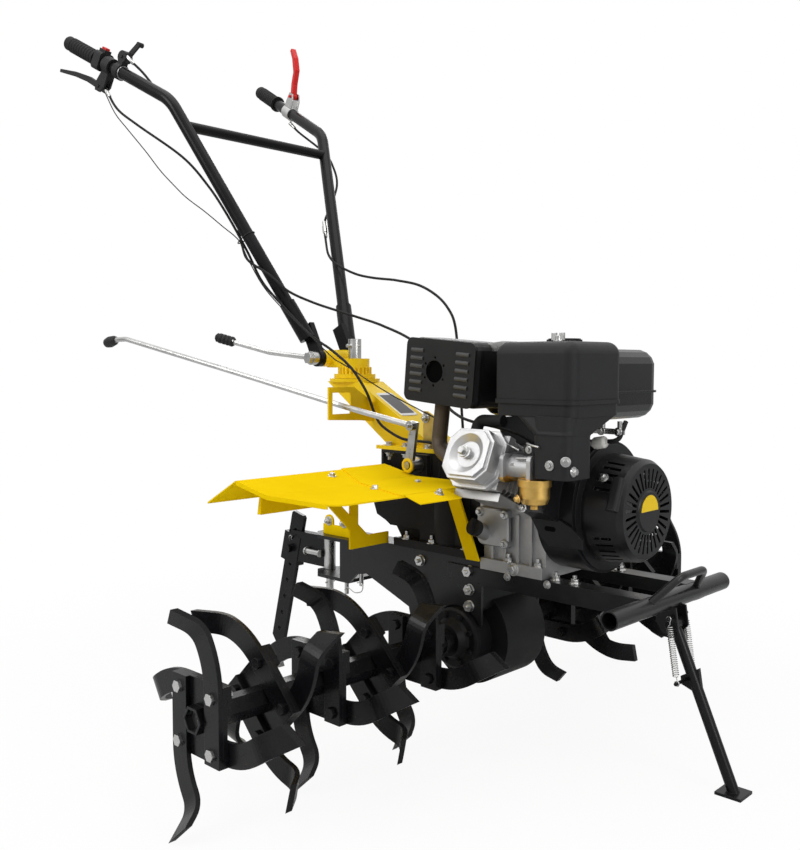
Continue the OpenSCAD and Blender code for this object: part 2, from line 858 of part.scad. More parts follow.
module rear_strut() {
  under = 500.4;
  slab_x(strut_x, strut_x + strut_t) union() {
    translate([-201, plate_top]) square([201 - plate_y, strut_w]);
    translate([-201, plate_top]) square([strut_w - 2, under - plate_top]);
    polygon([[-162, plate_top + 2], [-142, plate_top + 16], [-294, under], [-322, under]]);
  }
}

module front_strut() {
  out = rail_y + 3;
  slab_y(-out - strut_t, -out)
    polygon([[31, plate_top], [62, plate_top], [-2, fender_z], [-34, fender_z]]);
  translate([-30, -fender_y0 - 40, fender_z - strut_t - slip_gap])
    cube([26, fender_y0 + 42 - out - strut_t, strut_t]);
}

module hitch_lug() {
  lug_t = 4;
  eye = hitch_top + 32;
  slab_y(-30, lug_t - 30) difference() {
    union() {
      translate([-478, hitch_top]) square([98, 24]);
      for (x = [-458, -405]) {
        translate([x, eye]) circle(r = 15);
        translate([x - 15, hitch_top + 2]) square([30, 30]);
      }
    }
    for (x = [-458, -405])
      translate([x, eye]) circle(r = 10);
  }
}

// Bolts of the side plates, the hitch pins and the zinc spacers
module frame_bolts() {
  color(zinc) place() union() {
    both_sides()
      for (at = plate_bolts) {
        outer = at[0] > rail_rear_x && at[1] > rail_top - rail_web ? rail_y : plate_y + plate_t;
        translate([at[0], -outer, at[1]]) rotate([90, 0, 0]) union() {
          hex(plate_bolt_af, plate_bolt_head);
          translate([0, 0, plate_y - outer - plate_bolt_depth + 2])
            cylinder(d = plate_bolt_d, h = outer - plate_y + plate_bolt_depth);
        }
      }
    translate([hitch_pin_x, 0, hitch_bottom - 44]) union() {
      cylinder(d = hitch_pin_d, h = hitch_top - hitch_bottom + 46);
      translate([0, 0, hitch_top - hitch_bottom + 44])
        cylinder(d = hitch_pin_d + 12, h = 8);
      translate([0, -14, 20]) rotate([-90, 0, 0]) cylinder(d = 4, h = 28);
    }
  }
}

// Crankcase: cast block with a base flange, ribbed sides and a cover on the drive side
module crankcase() {
  base_h = 22;
  half = 88;
  color(cast_silver) place() difference() {
    union() {
      translate([engine_x + 8, -rail_y, engine_z])
        cube([engine_len - 8, 2 * rail_y, base_h]);
      slab_x(engine_x + 8, engine_front_x) union() {
        polygon([
          [-half, engine_z + base_h - 1], [half, engine_z + base_h - 1], [half, crank_z + 20],
          [58, crank_z + 100], [-40, crank_z + 100], [-half, crank_z + 30]
        ]);
        translate([0, crank_z]) circle(r = 92);
      }
      on_cylinder() translate([barrel_x0, -46, 40])
        cube([barrel_x1 - barrel_x0, 92, cyl_start - 40]);
      translate([0, 0, crank_z]) tube_x(engine_x, engine_x + 10, 2 * bell_r);
      for (x = [engine_x + 30 : 30 : engine_front_x - 20])
        translate([x, -half - 7, engine_z + base_h - 1])
          cube([6, 2 * half + 14, crank_h - base_h - 20]);
      translate(oil_at) rotate([90 - oil_lift, 0, 0]) translate([0, 0, -60])
        cylinder(d = 28, h = 68 - seat_gap);
    }
    translate([0, 0, crank_z])
      tube_x(engine_x - 1, engine_front_x + 1, crank_d + 2 * run_gap);
    translate(oil_at) rotate([90 - oil_lift, 0, 0]) translate([0, 0, -56])
      cylinder(d = 20 + slip_gap, h = 112);
    both_sides()
      for (x = [engine_x + 26, engine_front_x - 26])
        translate([x, -rail_y + rail_flange / 2 + 4, engine_z - 1])
          cylinder(d = 11, h = base_h + 2);
  }
}

// Children are placed with Z along the cylinder, out from the crankshaft
module on_cylinder() {
  translate([0, 0, crank_z]) rotate([90 - cyl_tilt, 0, 0]) children();
}

// Cylinder and head: finned block and a solid head with the exhaust and inlet faces
module cylinder_head() {
  mid = (barrel_x0 + barrel_x1) / 2;
  color(cast_silver) place() on_cylinder() union() {
    translate([barrel_x0, -40, cyl_start])
      cube([barrel_x1 - barrel_x0, 80, head_face - cyl_start]);
    for (k = [0 : fin_count - 1])
      translate([mid, 0, cyl_start + 6 + k * fin_pitch]) linear_extrude(3.2)
        rounded_plan(barrel_x1 - barrel_x0 + 4, 104, 18);
    translate([mid - 50, -50, head_face - 18]) cube([100, 100, 18]);
  }
}

// Rocker cover: pressed cover with a rim, a stepped crown, a round dish and one middle bolt
module rocker_outline(hw, hh, cut) {
  polygon([
    [-hw + cut, -hh], [hw - cut, -hh], [hw, -hh + cut], [hw, hh - cut],
    [hw - cut, hh], [-hw + cut, hh], [-hw, hh - cut], [-hw, -hh + cut]
  ]);
}

module rocker_cover() {
  rim_t = 9;
  dish_r = 38;
  color(cast_silver) place() on_cylinder() translate([rocker_x, 0, head_face])
    difference() {
      union() {
        linear_extrude(rim_t) rocker_outline(rocker_hw, rocker_hw - 4, 22);
        linear_extrude(rocker_t - 6)
          rocker_outline(rocker_hw - 7, rocker_hw - 11, 20);
        linear_extrude(rocker_t) rocker_outline(rocker_hw - 12, rocker_hw - 16, 18);
      }
      translate([0, 0, rocker_t - 9]) rotate_extrude()
        polygon([[9, 0], [dish_r - 14, 0], [dish_r, 10], [9, 10]]);
    }
}

// Fan shroud: deep sheet shell round the flywheel with a duct towards the cylinder, and the tank's bracket
module shroud_duct(hw, reach) {
  translate([0, crank_z]) rotate(-cyl_tilt) translate([-reach, -hw])
    square([reach, 2 * hw]);
}

module fan_shroud() {
  duct_hw = 66;
  duct_reach = 158;
  duct_x = neck_x0 - 6;
  bracket_t = 5;
  eye_r = 80;
  color(black_gloss) place() union() {
    difference() {
      union() {
        translate([0, 0, crank_z]) tube_x(shroud_x, shroud_front_x, 2 * shroud_r);
        slab_x(shroud_x, duct_x) shroud_duct(duct_hw, duct_reach);
      }
      translate([0, 0, crank_z])
        tube_x(shroud_x + shroud_wall, shroud_front_x - shroud_wall, 2 * (shroud_r - shroud_wall));
      slab_x(shroud_x - 1, duct_x - shroud_wall)
        difference() {
          shroud_duct(duct_hw - shroud_wall, duct_reach - shroud_wall);
          translate([0, crank_z]) circle(r = shroud_r - shroud_wall - 1);
        }
      translate([0, 0, crank_z]) tube_x(shroud_x - 1, shroud_x + 20, 2 * eye_r);
      translate([0, 0, crank_z]) tube_x(shroud_x + 20, shroud_front_x + 1, 2 * (recoil_r + 4));
    }
    for (x = [engine_x + 14, engine_front_x - 14 - bracket_t])
      slab_x(x, x + bracket_t)
        polygon([
          [-36, crank_z + 100], [54, crank_z + 100], [118, tank_bottom], [-60, tank_bottom]
        ]);
  }
}

// Starter cover: turned shell with radial slots in its face, slots in its rim and a rope nozzle
module recoil_cover() {
  back_r = recoil_r + 14;
  flange_r = shroud_r - 6;
  slot_in = 42;
  slot_out = recoil_r - 9;
  slot_w = 5.5;
  color(black_gloss) place() translate([recoil_x, 0, crank_z]) rotate([0, 90, 0])
    difference() {
      rotate_extrude()
        polygon([
          [0, recoil_len - recoil_wall], [recoil_r - 5, recoil_len - recoil_wall],
          [recoil_r + 4, recoil_len - 12], [back_r - recoil_wall, 8],
          [back_r - recoil_wall, 0], [flange_r, 0], [flange_r, recoil_wall],
          [back_r, recoil_wall], [back_r, 10], [recoil_r + 7, recoil_len - 10],
          [recoil_r, recoil_len], [slot_in - 4, recoil_len], [slot_in - 7, recoil_len + 3],
          [0, recoil_len + 3]
        ]);
      for (k = [0 : recoil_slots - 1])
        rotate(360 * k / recoil_slots)
          translate([slot_in, -slot_w / 2, recoil_len - 10])
            cube([slot_out - slot_in, slot_w, 20]);
      for (g = [45 : 90 : 315], k = [-2 : 2])
        rotate(g + k * 9) translate([recoil_r - 4, -3, 22]) cube([30, 6, 34]);
      rotate(rope_turn) translate([recoil_r - 6, 0, recoil_len - 10])
        rotate([0, 90, 0]) cylinder(d = 10, h = 40);
    }
}
rope_turn = 248;

// Crankshaft with the flywheel fan and the starter cup
module crankshaft() {
  wheel_r = recoil_r - 2;
  color(cast_silver) place() translate([0, 0, crank_z]) union() {
    tube_x(bell_x + 8, shroud_front_x + 40, crank_d);
    tube_x(shroud_x + 16, shroud_x + 40, 2 * wheel_r);
    tube_x(shroud_x + 38, shroud_front_x + 16, 84);
    for (k = [0 : 15])
      rotate([360 * k / 16, 0, 0]) translate([shroud_x + 38, 50, -2])
        cube([22, wheel_r - 54, 4]);
  }
}

// Starter grip: a moulded handle at the rope nozzle, its rope runs into the cover
grip_out = 17.2;
module recoil_grip() {
  color("black") place() translate([recoil_x, 0, crank_z]) rotate([0, 90, 0])
    rotate(rope_turn) translate([recoil_r, 0, recoil_len - 10]) rotate([0, 90, 0])
      union() {
        translate([0, 0, -22]) cylinder(d = 6, h = grip_out + 24);
        translate([0, 0, grip_out]) rotate([90, 0, 0]) rotate([0, 0, 90])
          translate([0, 0, -30]) linear_extrude(60) rounded_plan(16, 22, 7);
        translate([0, 0, grip_out - 9]) cylinder(d1 = 14, d2 = 16, h = 10);
      }
}

// Muffler: pressed can, the guard in front of it, its mounting posts and the exhaust pipe
module muffler() {
  face = -muffler_size[1] / 2 - guard_gap;
  outlet_x = -11;
  pipe_top = [10, -150, 690];
  pipe_corner = [2, -158, 566];
  pipe_turn = [62, -186, 546];
  pipe_end = [(barrel_x0 + barrel_x1) / 2 - 50, -186, 546];
  color("dimgray") place() union() {
    translate(muffler_c) rotate([0, muffler_tilt, 0]) soft_box(muffler_size, 18);
    translate(muffler_c) rotate([0, muffler_tilt, 0]) difference() {
      union() {
        slab_y(face - guard_t, face)
          rounded_plan(muffler_size[0] - 2, muffler_size[2] - 2, 14);
        for (x = [-1, 1], k = [0 : 5])
          translate([x * 56, face - guard_t + 1, -38 + k * 15]) louvre();
        for (x = [-62, 62], z = [-44, 44])
          translate([x, 0, z]) tube_y(face - 1, face + guard_gap + 6, 10);
      }
      translate([outlet_x, 0, 0]) {
        tube_y(face - guard_t - 1, face + 1, 42);
        for (a = [0 : 60 : 300])
          rotate([0, a, 0]) translate([0, 0, 26])
            tube_y(face - guard_t - 1, face + 1, 5);
      }
    }
    bent_bar([pipe_top, pipe_corner, pipe_turn, pipe_end], 30, 28);
  }
}

module louvre() {
  intersection() {
    translate([-20, -6, -4]) cube([40, 7, 8]);
    rotate([0, 90, 0]) translate([0, 0, -15]) cylinder(r = 4, h = 30);
  }
}

// Air filter: rounded lid over a base tray with a neck down to the carburetor
module air_filter_cover() {
  size = [filter_x1 - filter_x0, filter_y1 - filter_y0, filter_top - filter_seam];
  mid = [(filter_x0 + filter_x1) / 2, (filter_y0 + filter_y1) / 2];
  color("black") place() union() {
    translate([mid[0], mid[1], filter_seam]) lid(size, 22);
    translate([mid[0], mid[1], filter_top - 1]) wing_nut();
  }
}

module wing_nut() {
  cylinder(d = 18, h = 4);
  cylinder(d = 10, h = 12);
  for (a = [0, 180])
    rotate(a) translate([3, -2, 4]) cube([10, 4, 13]);
}

module air_filter_base() {
  size = [filter_x1 - filter_x0, filter_y1 - filter_y0];
  mid = [(filter_x0 + filter_x1) / 2, (filter_y0 + filter_y1) / 2];
  color("black") place() union() {
    translate([mid[0], mid[1], filter_seam - 7]) linear_extrude(7)
      rounded_plan(size[0] + 4, size[1] + 4, 24);
    translate([mid[0], mid[1], filter_bottom])
      linear_extrude(filter_seam - filter_bottom - 6)
        rounded_plan(size[0] - 4, size[1] - 4, 22);
    translate([(neck_x0 + neck_x1) / 2, carb_y + 8, carb_z - 12])
      linear_extrude(filter_bottom - carb_z + 13)
        rounded_plan(neck_x1 - neck_x0, 78, 16);
    hull() {
      translate([mid[0] + 20, mid[1], filter_bottom])
        linear_extrude(2) rounded_plan(size[0] - 48, size[1] - 8, 20, $fn = 32);
      translate([(neck_x0 + neck_x1) / 2, carb_y + 8, filter_bottom - 30])
        linear_extrude(2) rounded_plan(neck_x1 - neck_x0 + 2, 80, 17, $fn = 32);
    }
  }
}

// Carburetor: cast body between head and neck with a flange at each end and a round bowl
module carburetor() {
  x0 = rocker_x + rocker_hw + 1;
  x1 = neck_x0;
  head_x = (barrel_x0 + barrel_x1) / 2 + 50;
  bowl_x = (x0 + x1) / 2 + 28;
  color("tan") place() union() {
    translate([0, carb_y, carb_z]) union() {
      tube_x(head_x, x0 + 1, 30);
      tube_x(x0, x1, carb_d);
      slab_x(x0, x0 + 8) rounded_plan(66, 50, 10);
      slab_x(x1 - 8, x1) rounded_plan(66, 50, 10);
    }
    translate([bowl_x, carb_y - 12, carb_z - 62])
      rotate_extrude()
        polygon([[0, -6], [7, -6], [7, 0], [22, 4], [26, 14], [26, 34], [29, 34], [29, 46], [0, 46]]);
  }
}

// Fuel tank: two pressed shells joined at a seam flange
module fuel_tank() {
  neck_r = cap_r - 6;
  color(black_gloss) place() difference() {
    union() {
      translate([tank_c[0], tank_c[1], (tank_bottom + tank_top) / 2])
        soft_box([tank_len - 8, tank_w - 8, tank_h], 34);
      translate([tank_c[0], tank_c[1], tank_seam_z - 2]) linear_extrude(4)
        rounded_plan(tank_len, tank_w, 38);
      translate([cap_x, cap_y, tank_top - 10]) cylinder(r = neck_r, h = 16);
    }
    translate([cap_x, cap_y, tank_top - 40]) cylinder(r = neck_r - 4, h = 60);
  }
}

module fuel_cap() {
  inner = cap_r - 6 + slip_gap;
  color("black") place() translate([cap_x, cap_y, tank_top + seat_gap])
    difference() {
      union() {
        cylinder(r = cap_r, h = 22);
        for (k = [0 : 11])
          rotate(30 * k) translate([cap_r - 2, -5, 0]) cube([5, 10, 20]);
      }
      translate([0, 0, -1]) cylinder(r = inner, h = 8);
    }
}

// Oil filler cap with its dipstick
module oil_cap() {
  color("black") place() translate(oil_at) rotate([90 - oil_lift, 0, 0]) union() {
    translate([0, 0, -52]) cylinder(d = 20, h = 62);
    translate([0, 0, 8]) cylinder(d = 32, h = 12);
    translate([-3, -15, 18]) cube([6, 30, 10]);
  }
}

// Spark plug cap: bent moulded boot over the head
module spark_plug_cap() {
  head_top = 50;
  plug = [rocker_x - 34, head_top, head_face - 9];
  boot = plug + [0, 10, 0];
  corner = plug + [0, 30, 0];
  tip = plug + [58, 30, 2];
  color("black") place() on_cylinder() union() {
    rod(plug, boot + [0, 2, 0], 16);
    bent_bar([boot, corner, tip], 22, 12);
  }
}

// Tines: hexagon axle, hexagon hub tubes with square flanges, and blades bolted to both flange faces
module axle_shaft() {
  color(zinc) place() translate([0, 0, axle_z]) union() {
    tube_y(-hub_start_y - 6, hub_start_y + 6, journal_d);
    rotate([90, 0, 0]) translate([0, 0, -hub_end_y + 12])
      hex(hex_af, 2 * hub_end_y - 24);
  }
}

// Children are repeated at each star of the right-hand side, every second one turned half a pitch
module at_stars() {
  for (k = [0 : star_count - 1])
    translate([0, -first_star_y - k * star_pitch, axle_z])
      rotate([0, (star_count - 1 - k) % 2 == 0 ? 0 : -45, 0]) children();
}

module tine_hub() {
  boss = journal_d + 6;
  difference() {
    union() {
      translate([0, 0, axle_z]) rotate([90, 0, 0]) translate([0, 0, hub_start_y])
        hex(hub_af, hub_end_y - hub_start_y);
      translate([0, -hub_start_y - 22, axle_z]) tube_y(0, 22, boss);
      at_stars() difference() {
        translate([-flange_half, -flange_t / 2, -flange_half])
          cube([2 * flange_half, flange_t, 2 * flange_half]);
        for (x = [-1, 1], z = [-1, 1])
          translate([x * blade_off, 0, z * blade_off])
            tube_y(-flange_t, flange_t, blade_bolt_d + slip_gap);
      }
    }
    translate([0, 0, axle_z]) rotate([90, 0, 0]) translate([0, 0, hub_start_y - 1])
      hex(hex_af + 2 * hub_clear, hub_end_y - hub_start_y + 2);
    translate([0, 0, axle_z])
      tube_y(-hub_start_y - 6 - seat_gap, -hub_start_y + 1, journal_d + 2 * hub_clear);
  }
}

module tine_hub_right() {
  color(black_paint) place() tine_hub();
}

module tine_hub_left() {
  color(black_paint) place() mirror_y() tine_hub();
}

// A blade points up, sweeps to the rear and turns sideways at its tip
blade_steps = 8;
blade_centre = [blade_off - blade_sweep_r, blade_sweep_z];
function blade_side(r, k) = blade_centre + r * [cos(blade_sweep * k / blade_steps), sin(blade_sweep * k / blade_steps)];

module blade_plan() {
  outer = blade_sweep_r + blade_w / 2;
  inner = blade_sweep_r - blade_w / 2;
  ahead = [-sin(blade_sweep), cos(blade_sweep)];
  polygon(concat(
    [[blade_off - blade_w / 2, -blade_root], [blade_off + blade_w / 2, -blade_root]],
    [for (k = [0 : blade_steps]) blade_side(outer, k)],
    [blade_side(outer, blade_steps) + ahead * blade_tip, blade_side(inner, blade_steps) + ahead * (blade_tip - 9)],
    [for (k = [0 : blade_steps]) blade_side(inner, blade_steps - k)]
  ));
}

// The edge view of a blade: flat for its root and sweep, then turned in short flats
module blade_edge() {
  outer = blade_bend_r + blade_t;
  flats = 6;
  turns = [for (k = [0 : flats]) blade_bend * k / flats];
  tip = 2 * blade_tip * [cos(blade_bend), -sin(blade_bend)];
  outside = [for (a = turns) [outer * sin(a), outer * cos(a) - outer]];
  inside = [for (a = turns) [blade_bend_r * sin(a), blade_bend_r * cos(a) - outer]];
  polygon(concat(
    [[-400, 0]], outside, [outside[flats] + tip, inside[flats] + tip],
    [for (k = [0 : flats]) inside[flats - k]], [[-400, -blade_t]]
  ));
}

module blade() {
  turn_at = blade_side(blade_sweep_r, blade_steps);
  difference() {
    intersection() {
      slab_y(-150, 20) blade_plan();
      translate([turn_at[0], 0, turn_at[1]]) rotate([0, -blade_sweep, 0]) rotate([0, -90, 0])
        translate([3, 0, -300]) linear_extrude(600) blade_edge();
    }
    for (z = [-1, 1])
      translate([blade_off, 0, z * blade_off])
        tube_y(-blade_t - 1, 1, blade_bolt_d + slip_gap);
  }
}

// Blades on a flange's outer face turn outward, and those on its inner face turn inward
module blades() {
  at_stars()
    for (turn = [0 : 90 : 270])
      rotate([0, turn, 0])
        if (turn % 180 == 0)
          translate([0, -flange_t / 2, 0]) blade();
        else
          translate([0, flange_t / 2, 0]) mirror_y() blade();
}

module blades_right() {
  color(black_paint) place() blades();
}

module blades_left() {
  color(black_paint) place() mirror_y() blades();
}

module blade_bolts() {
  face = flange_t / 2 + blade_t;
  head_t = 6;
  color(zinc) place() both_sides() at_stars()
    for (x = [-1, 1], z = [-1, 1])
      translate([x * blade_off, 0, z * blade_off]) rotate([90, 0, 0]) union() {
        translate([0, 0, -face - 12]) cylinder(d = blade_bolt_d, h = 2 * face + 14);
        translate([0, 0, face]) hex(1.7 * blade_bolt_d, head_t);
        translate([0, 0, -face - 9]) hex(1.7 * blade_bolt_d, 9);
      }
}

// Stand: a leaning leg on a pin between the bumper's ears, with a foot plate and a lug for the springs
module stand_leg() {
  lug_t = 8;
  eye = stand_ear_y - slip_gap;
  color(black_paint) place() union() {
    translate([stand_pin[0], 0, stand_pin[1]]) union() {
      tube_y(-eye, eye, 24);
      tube_y(-stand_ear_y - stand_ear_t - 1.5, stand_ear_y + stand_ear_t + 1.5, stand_pin_d);
      rotate([0, -leg_lean, 0]) intersection() {
        translate([0, 0, -leg_len - foot_t])
          cylinder(d = leg_d, h = leg_len + foot_t);
        rotate([0, leg_lean, 0]) translate([-500, -100, -stand_pin[1] + foot_t / 2])
          cube([1000, 200, 600]);
      }
    }
    translate([foot_x - foot_side / 2, -foot_side / 2, 0])
      cube([foot_side, foot_side, foot_t]);
    slab_y(-lug_t / 2, lug_t / 2)
      polygon([
        spring_bottom + [-7, 6], spring_bottom + [26, 26],
        spring_bottom + [34, -22], spring_bottom + [-5, -8]
      ]);
    translate([spring_bottom[0], 0, spring_bottom[1]])
      tube_y(-spring_y - spring_d / 2, spring_y + spring_d / 2, spring_pin_d);
  }
}

// Springs: one unbroken wire each, straight at both ends where it hooks over its pin
spring_mid_d = spring_d - spring_wire;
spring_from = [spring_top[0], -spring_y, spring_top[1]];
spring_to = [spring_bottom[0], -spring_y, spring_bottom[1]];
spring_line = spring_to - spring_from;
spring_dir = unit(spring_line);
spring_across = [0, 1, 0];
spring_fore = cross(spring_across, spring_dir);
spring_end = spring_pin_d / 2 + slip_gap;
spring_coil_from = spring_end + 8;
spring_coil_to = norm(spring_line) - spring_coil_from;
spring_rings = 8;
function spring_at(s, r, a) =
  spring_from + spring_dir * s + r * (cos(a) * spring_across + sin(a) * spring_fore);
spring_points = concat(
  [spring_at(spring_end, 0, 0), spring_at(spring_end + spring_wire, 0, 0)],
  [for (k = [0 : spring_curls * spring_rings])
    let (t = k / (spring_curls * spring_rings), grow = min(1, min(k, spring_curls * spring_rings - k) / 6 + 0.3))
      spring_at(spring_coil_from + t * (spring_coil_to - spring_coil_from), grow * spring_mid_d / 2,
        360 * k / spring_rings)],
  [spring_at(norm(spring_line) - spring_end - spring_wire, 0, 0), spring_at(norm(spring_line) - spring_end, 0, 0)]
);
spring_gaps = [for (i = [0 : len(spring_points) - 1])
  min([for (j = [min(i + 5, len(spring_points) - 1) : min(i + 11, len(spring_points) - 1)])
    j - i < 5 ? 1000 : norm(spring_points[i] - spring_points[j])]) - spring_wire];
echo(least_spring_gap = min(spring_gaps));

module stand_springs() {
  color(zinc) place() both_sides() swept(spring_points, spring_wire, 6);
}

// Depth stake and its holder, which swings on the hitch pin
module stake_holder() {
  eye_h = hitch_top - hitch_bottom - 2 * hitch_t - 2 * slip_gap;
  eye_z = hitch_bottom + hitch_t + slip_gap;
  outer_w = stake_w + 2 * stake_gap + 2 * stake_wall;
  outer_t = stake_t + 2 * stake_gap + 2 * stake_wall;
  color(black_paint) place() difference() {
    union() {
      translate([hitch_pin_x, 0, eye_z]) cylinder(d = hitch_pin_d + 10, h = eye_h);
      translate([stake_at_holder, -11, eye_z + 4])
        cube([hitch_pin_x - stake_at_holder, 22, eye_h - 8]);
      translate([stake_at_holder, 0, stake_holder_z]) rotate([0, -stake_lean, 0])
        translate([-outer_w / 2, -outer_t / 2, -stake_holder_h / 2])
          cube([outer_w, outer_t, stake_holder_h]);
      translate([stake_at_holder, 0, stake_holder_z]) rotate([0, -stake_lean, 0])
        tube_y(-outer_t / 2 - 12, outer_t / 2 + 12, 20);
    }
    translate([hitch_pin_x, 0, 0]) cylinder(d = hitch_pin_d + 2 * run_gap, h = 600);
    translate([stake_at_holder, 0, stake_holder_z]) rotate([0, -stake_lean, 0])
      translate([-stake_w / 2 - stake_gap, -stake_t / 2 - stake_gap, -200])
        cube([stake_w + 2 * stake_gap, stake_t + 2 * stake_gap, 400]);
  }
}

module depth_stake() {
  hole_pitch = stake_len / (stake_holes + 1);
  color("gray") place() translate([stake_bottom[0], 0, stake_bottom[1]])
    rotate([0, -stake_lean, 0]) slab_y(-stake_t / 2, stake_t / 2) difference() {
      polygon([
        [0, 0], [stake_w / 2, 18], [stake_w / 2, stake_len - 5], [stake_w / 2 - 5, stake_len],
        [-stake_w / 2 + 5, stake_len], [-stake_w / 2, stake_len - 5], [-stake_w / 2, 18]
      ]);
      for (k = [1 : stake_holes])
        translate([0, k * hole_pitch]) circle(d = stake_hole_d);
    }
}

// Swivel head: toothed collar on the column with a lug back to the tilting pin
module swivel_head() {
  foot = column_top + collar_gap;
  color(yellow) place() difference() {
    union() {
      translate([-swivel_x, 0, foot]) cylinder(r = collar_flange_r, h = 10);
      translate([-swivel_x, 0, foot]) cylinder(r = collar_r, h = collar_top - foot);
      for (a = [0 : 15 : 345])
        translate([-swivel_x, 0, foot]) rotate(a) translate([collar_r - 1, -3, 8])
          cube([6, 6, 18]);
      translate([-pivot_x, -24, pivot_z - 22]) cube([pivot_x - swivel_x, 48, 20]);
      translate([-pivot_x, 0, pivot_z]) tube_y(-boss_hw, boss_hw, 40);
      translate([-swivel_x, 0, column_top - top_plate_t - 6])
        cylinder(d = 24, h = 20);
    }
    translate([-pivot_x, 0, pivot_z])
      tube_y(-boss_hw - 1, boss_hw + 1, pin_d + 2 * run_gap);
    translate([-swivel_x, 0, collar_top - 38])
      cylinder(d = lock_stem_d + 2 * run_gap, h = 60);
    translate([-swivel_x, 0, collar_top]) cylinder(d = lock_d + 4, h = 60);
  }
}

// Swivel lock: a bright tube that lifts to free the swivel, with a cross pin
module swivel_lock() {
  color(zinc) place() translate([-swivel_x, 0, collar_top + seat_gap]) union() {
    difference() {
      cylinder(d = lock_d, h = lock_h);
      translate([0, 0, 12]) cylinder(d = lock_d - 5, h = lock_h);
    }
    translate([0, 0, -34]) cylinder(d = lock_stem_d, h = 36);
    translate([0, 0, lock_h - 16]) tube_y(-lock_d / 2 - 10, -lock_d / 2 + 4, 8);
    translate([0, 0, lock_h - 16]) tube_x(-lock_d / 2 - 4, lock_d / 2 + 4, 5);
  }
}

// Handlebars: bent tubes with a sleeve and a flat eye at the tilting pin
module handlebar() {
  lean = atan2(bar_corner[0] - bar_root[0], bar_corner[2] - bar_root[2]);
  up = unit(bar_corner - bar_root);
  first = bar_root + up * 52;
  sleeve_end = bar_root + up * 150;
  difference() {
    union() {
      bent_bar([first + up * 30, bar_corner, bar_end], bar_d, bar_bend_r);
      rod(first, sleeve_end, bar_d + 8);
      translate(bar_root) rotate([0, lean, 0]) translate([-17, 0.5 - eye_t / 2, 0])
        cube([34, eye_t + 0.5, 86]);
      translate([-pivot_x, 0, pivot_z]) tube_y(-eye_y0 - eye_t, 1 - eye_y0, 2 * eye_r);
    }
    translate([-pivot_x, 0, pivot_z])
      tube_y(-eye_y0 - eye_t - 1, -eye_y0 + 1, pin_d + 2 * run_gap);
    translate([-pivot_x - 200, -eye_y0, pivot_z - 100]) cube([400, eye_y0, 500]);
  }
}

module handlebar_right() {
  color(black_gloss) place() handlebar();
}

module handlebar_left() {
  color(black_gloss) place() mirror_y() handlebar();
}

module handle_brace() {
  color(black_gloss) place() difference() {
    translate([brace_at[0], 0, brace_at[2]])
      tube_y(brace_at[1], -brace_at[1], brace_d);
    both_sides() rod(bar_root, bar_corner, bar_d + 2 * weld_gap);
  }
}

// Children stand on the right-hand tube at a distance before its end, Z towards the end, X down
module on_bar(back) {
  along(bar_end - grip_axis * back, bar_end) children();
}

module handle_grips() {
  color("black") place() both_sides() on_bar(grip_len - grip_cap) grip_sleeve();
}

module grip_sleeve() {
  inner = bar_d / 2 + run_gap;
  outer = grip_d / 2;
  ribs = 9;
  difference() {
    rotate_extrude()
      polygon(concat(
        [[0, grip_len], [0, 0], [outer + 3, 0], [outer + 3, 5], [outer - 1.5, 8]],
        [for (k = [1 : ribs]) let (z = 8 + k * (grip_len - 20) / (ribs + 1)) each [
          [outer - 1.5, z - 3], [outer, z - 1.5], [outer, z + 1.5], [outer - 1.5, z + 3]]],
        [[outer - 1.5, grip_len - 8], [outer - 1, grip_len - 3], [outer - 4, grip_len]]
      ));
    translate([0, 0, -1])
      cylinder(r = inner, h = grip_len - grip_cap + 1 + run_gap);
  }
}

// Clutch perch and lever under the right-hand grip
perch_pin = [56, 8];
module clamp_ring(w, wall) {
  difference() {
    translate([0, 0, -w / 2]) cylinder(d = bar_d + 2 * wall, h = w);
    translate([0, 0, -w]) cylinder(d = bar_d + 2 * run_gap, h = 2 * w);
  }
}

module clutch_perch() {
  cheek_t = 5;
  cheek_y = 6.5;
  color("black") place() on_bar(perch_at) difference() {
    union() {
      clamp_ring(26, 6);
      translate([bar_d / 2 + 3, -cheek_y - cheek_t, -13])
        cube([14, 2 * (cheek_y + cheek_t), 26]);
      for (side = [-1, 1])
        translate([0, side * (cheek_y + cheek_t / 2), 0]) rotate([90, 0, 0])
          translate([0, 0, -cheek_t / 2]) linear_extrude(cheek_t)
            polygon([
              [bar_d / 2 + 6, -13], [bar_d / 2 + 6, 13], [50, 22],
              [68, 16], [68, -2], [50, -13]
            ]);
    }
    translate([perch_pin[0], 0, perch_pin[1]]) tube_y(-20, 20, 8 + 2 * run_gap);
  }
}

module clutch_lever() {
  color("black") place() on_bar(perch_at) union() {
    translate([perch_pin[0], 0, perch_pin[1]]) tube_y(-14, 14, 8);
    translate([0, clutch_w / 2, 0]) rotate([90, 0, 0]) linear_extrude(clutch_w)
      union() {
        translate(perch_pin) circle(r = 9);
        difference() {
          polygon([
            [perch_pin[0] - 6, perch_pin[1] + 6], [perch_pin[0] + 8, perch_pin[1] + 2],
            [62, 60], [66, 110], clutch_tip, [68, 174], [54, 112], [48, 62]
          ]);
        }
      }
  }
}

// Switch box with its stop button
module switch_box() {
  half = 23;
  color("black") place() on_bar(switch_at) difference() {
    union() {
      translate([0, 0, -switch_len / 2]) linear_extrude(switch_len)
        rounded_plan(2 * half, 2 * half - 4, 9);
      translate([-half - 7, -10, -switch_len / 2 + 2])
        cube([10, 20, switch_len - 4]);
    }
    translate([0, 0, -50]) cylinder(d = bar_d + 2 * run_gap, h = 100);
    translate([-half - 8, -6 - slip_gap, -8 - slip_gap])
      cube([9, 12 + 2 * slip_gap, 16 + 2 * slip_gap]);
  }
}

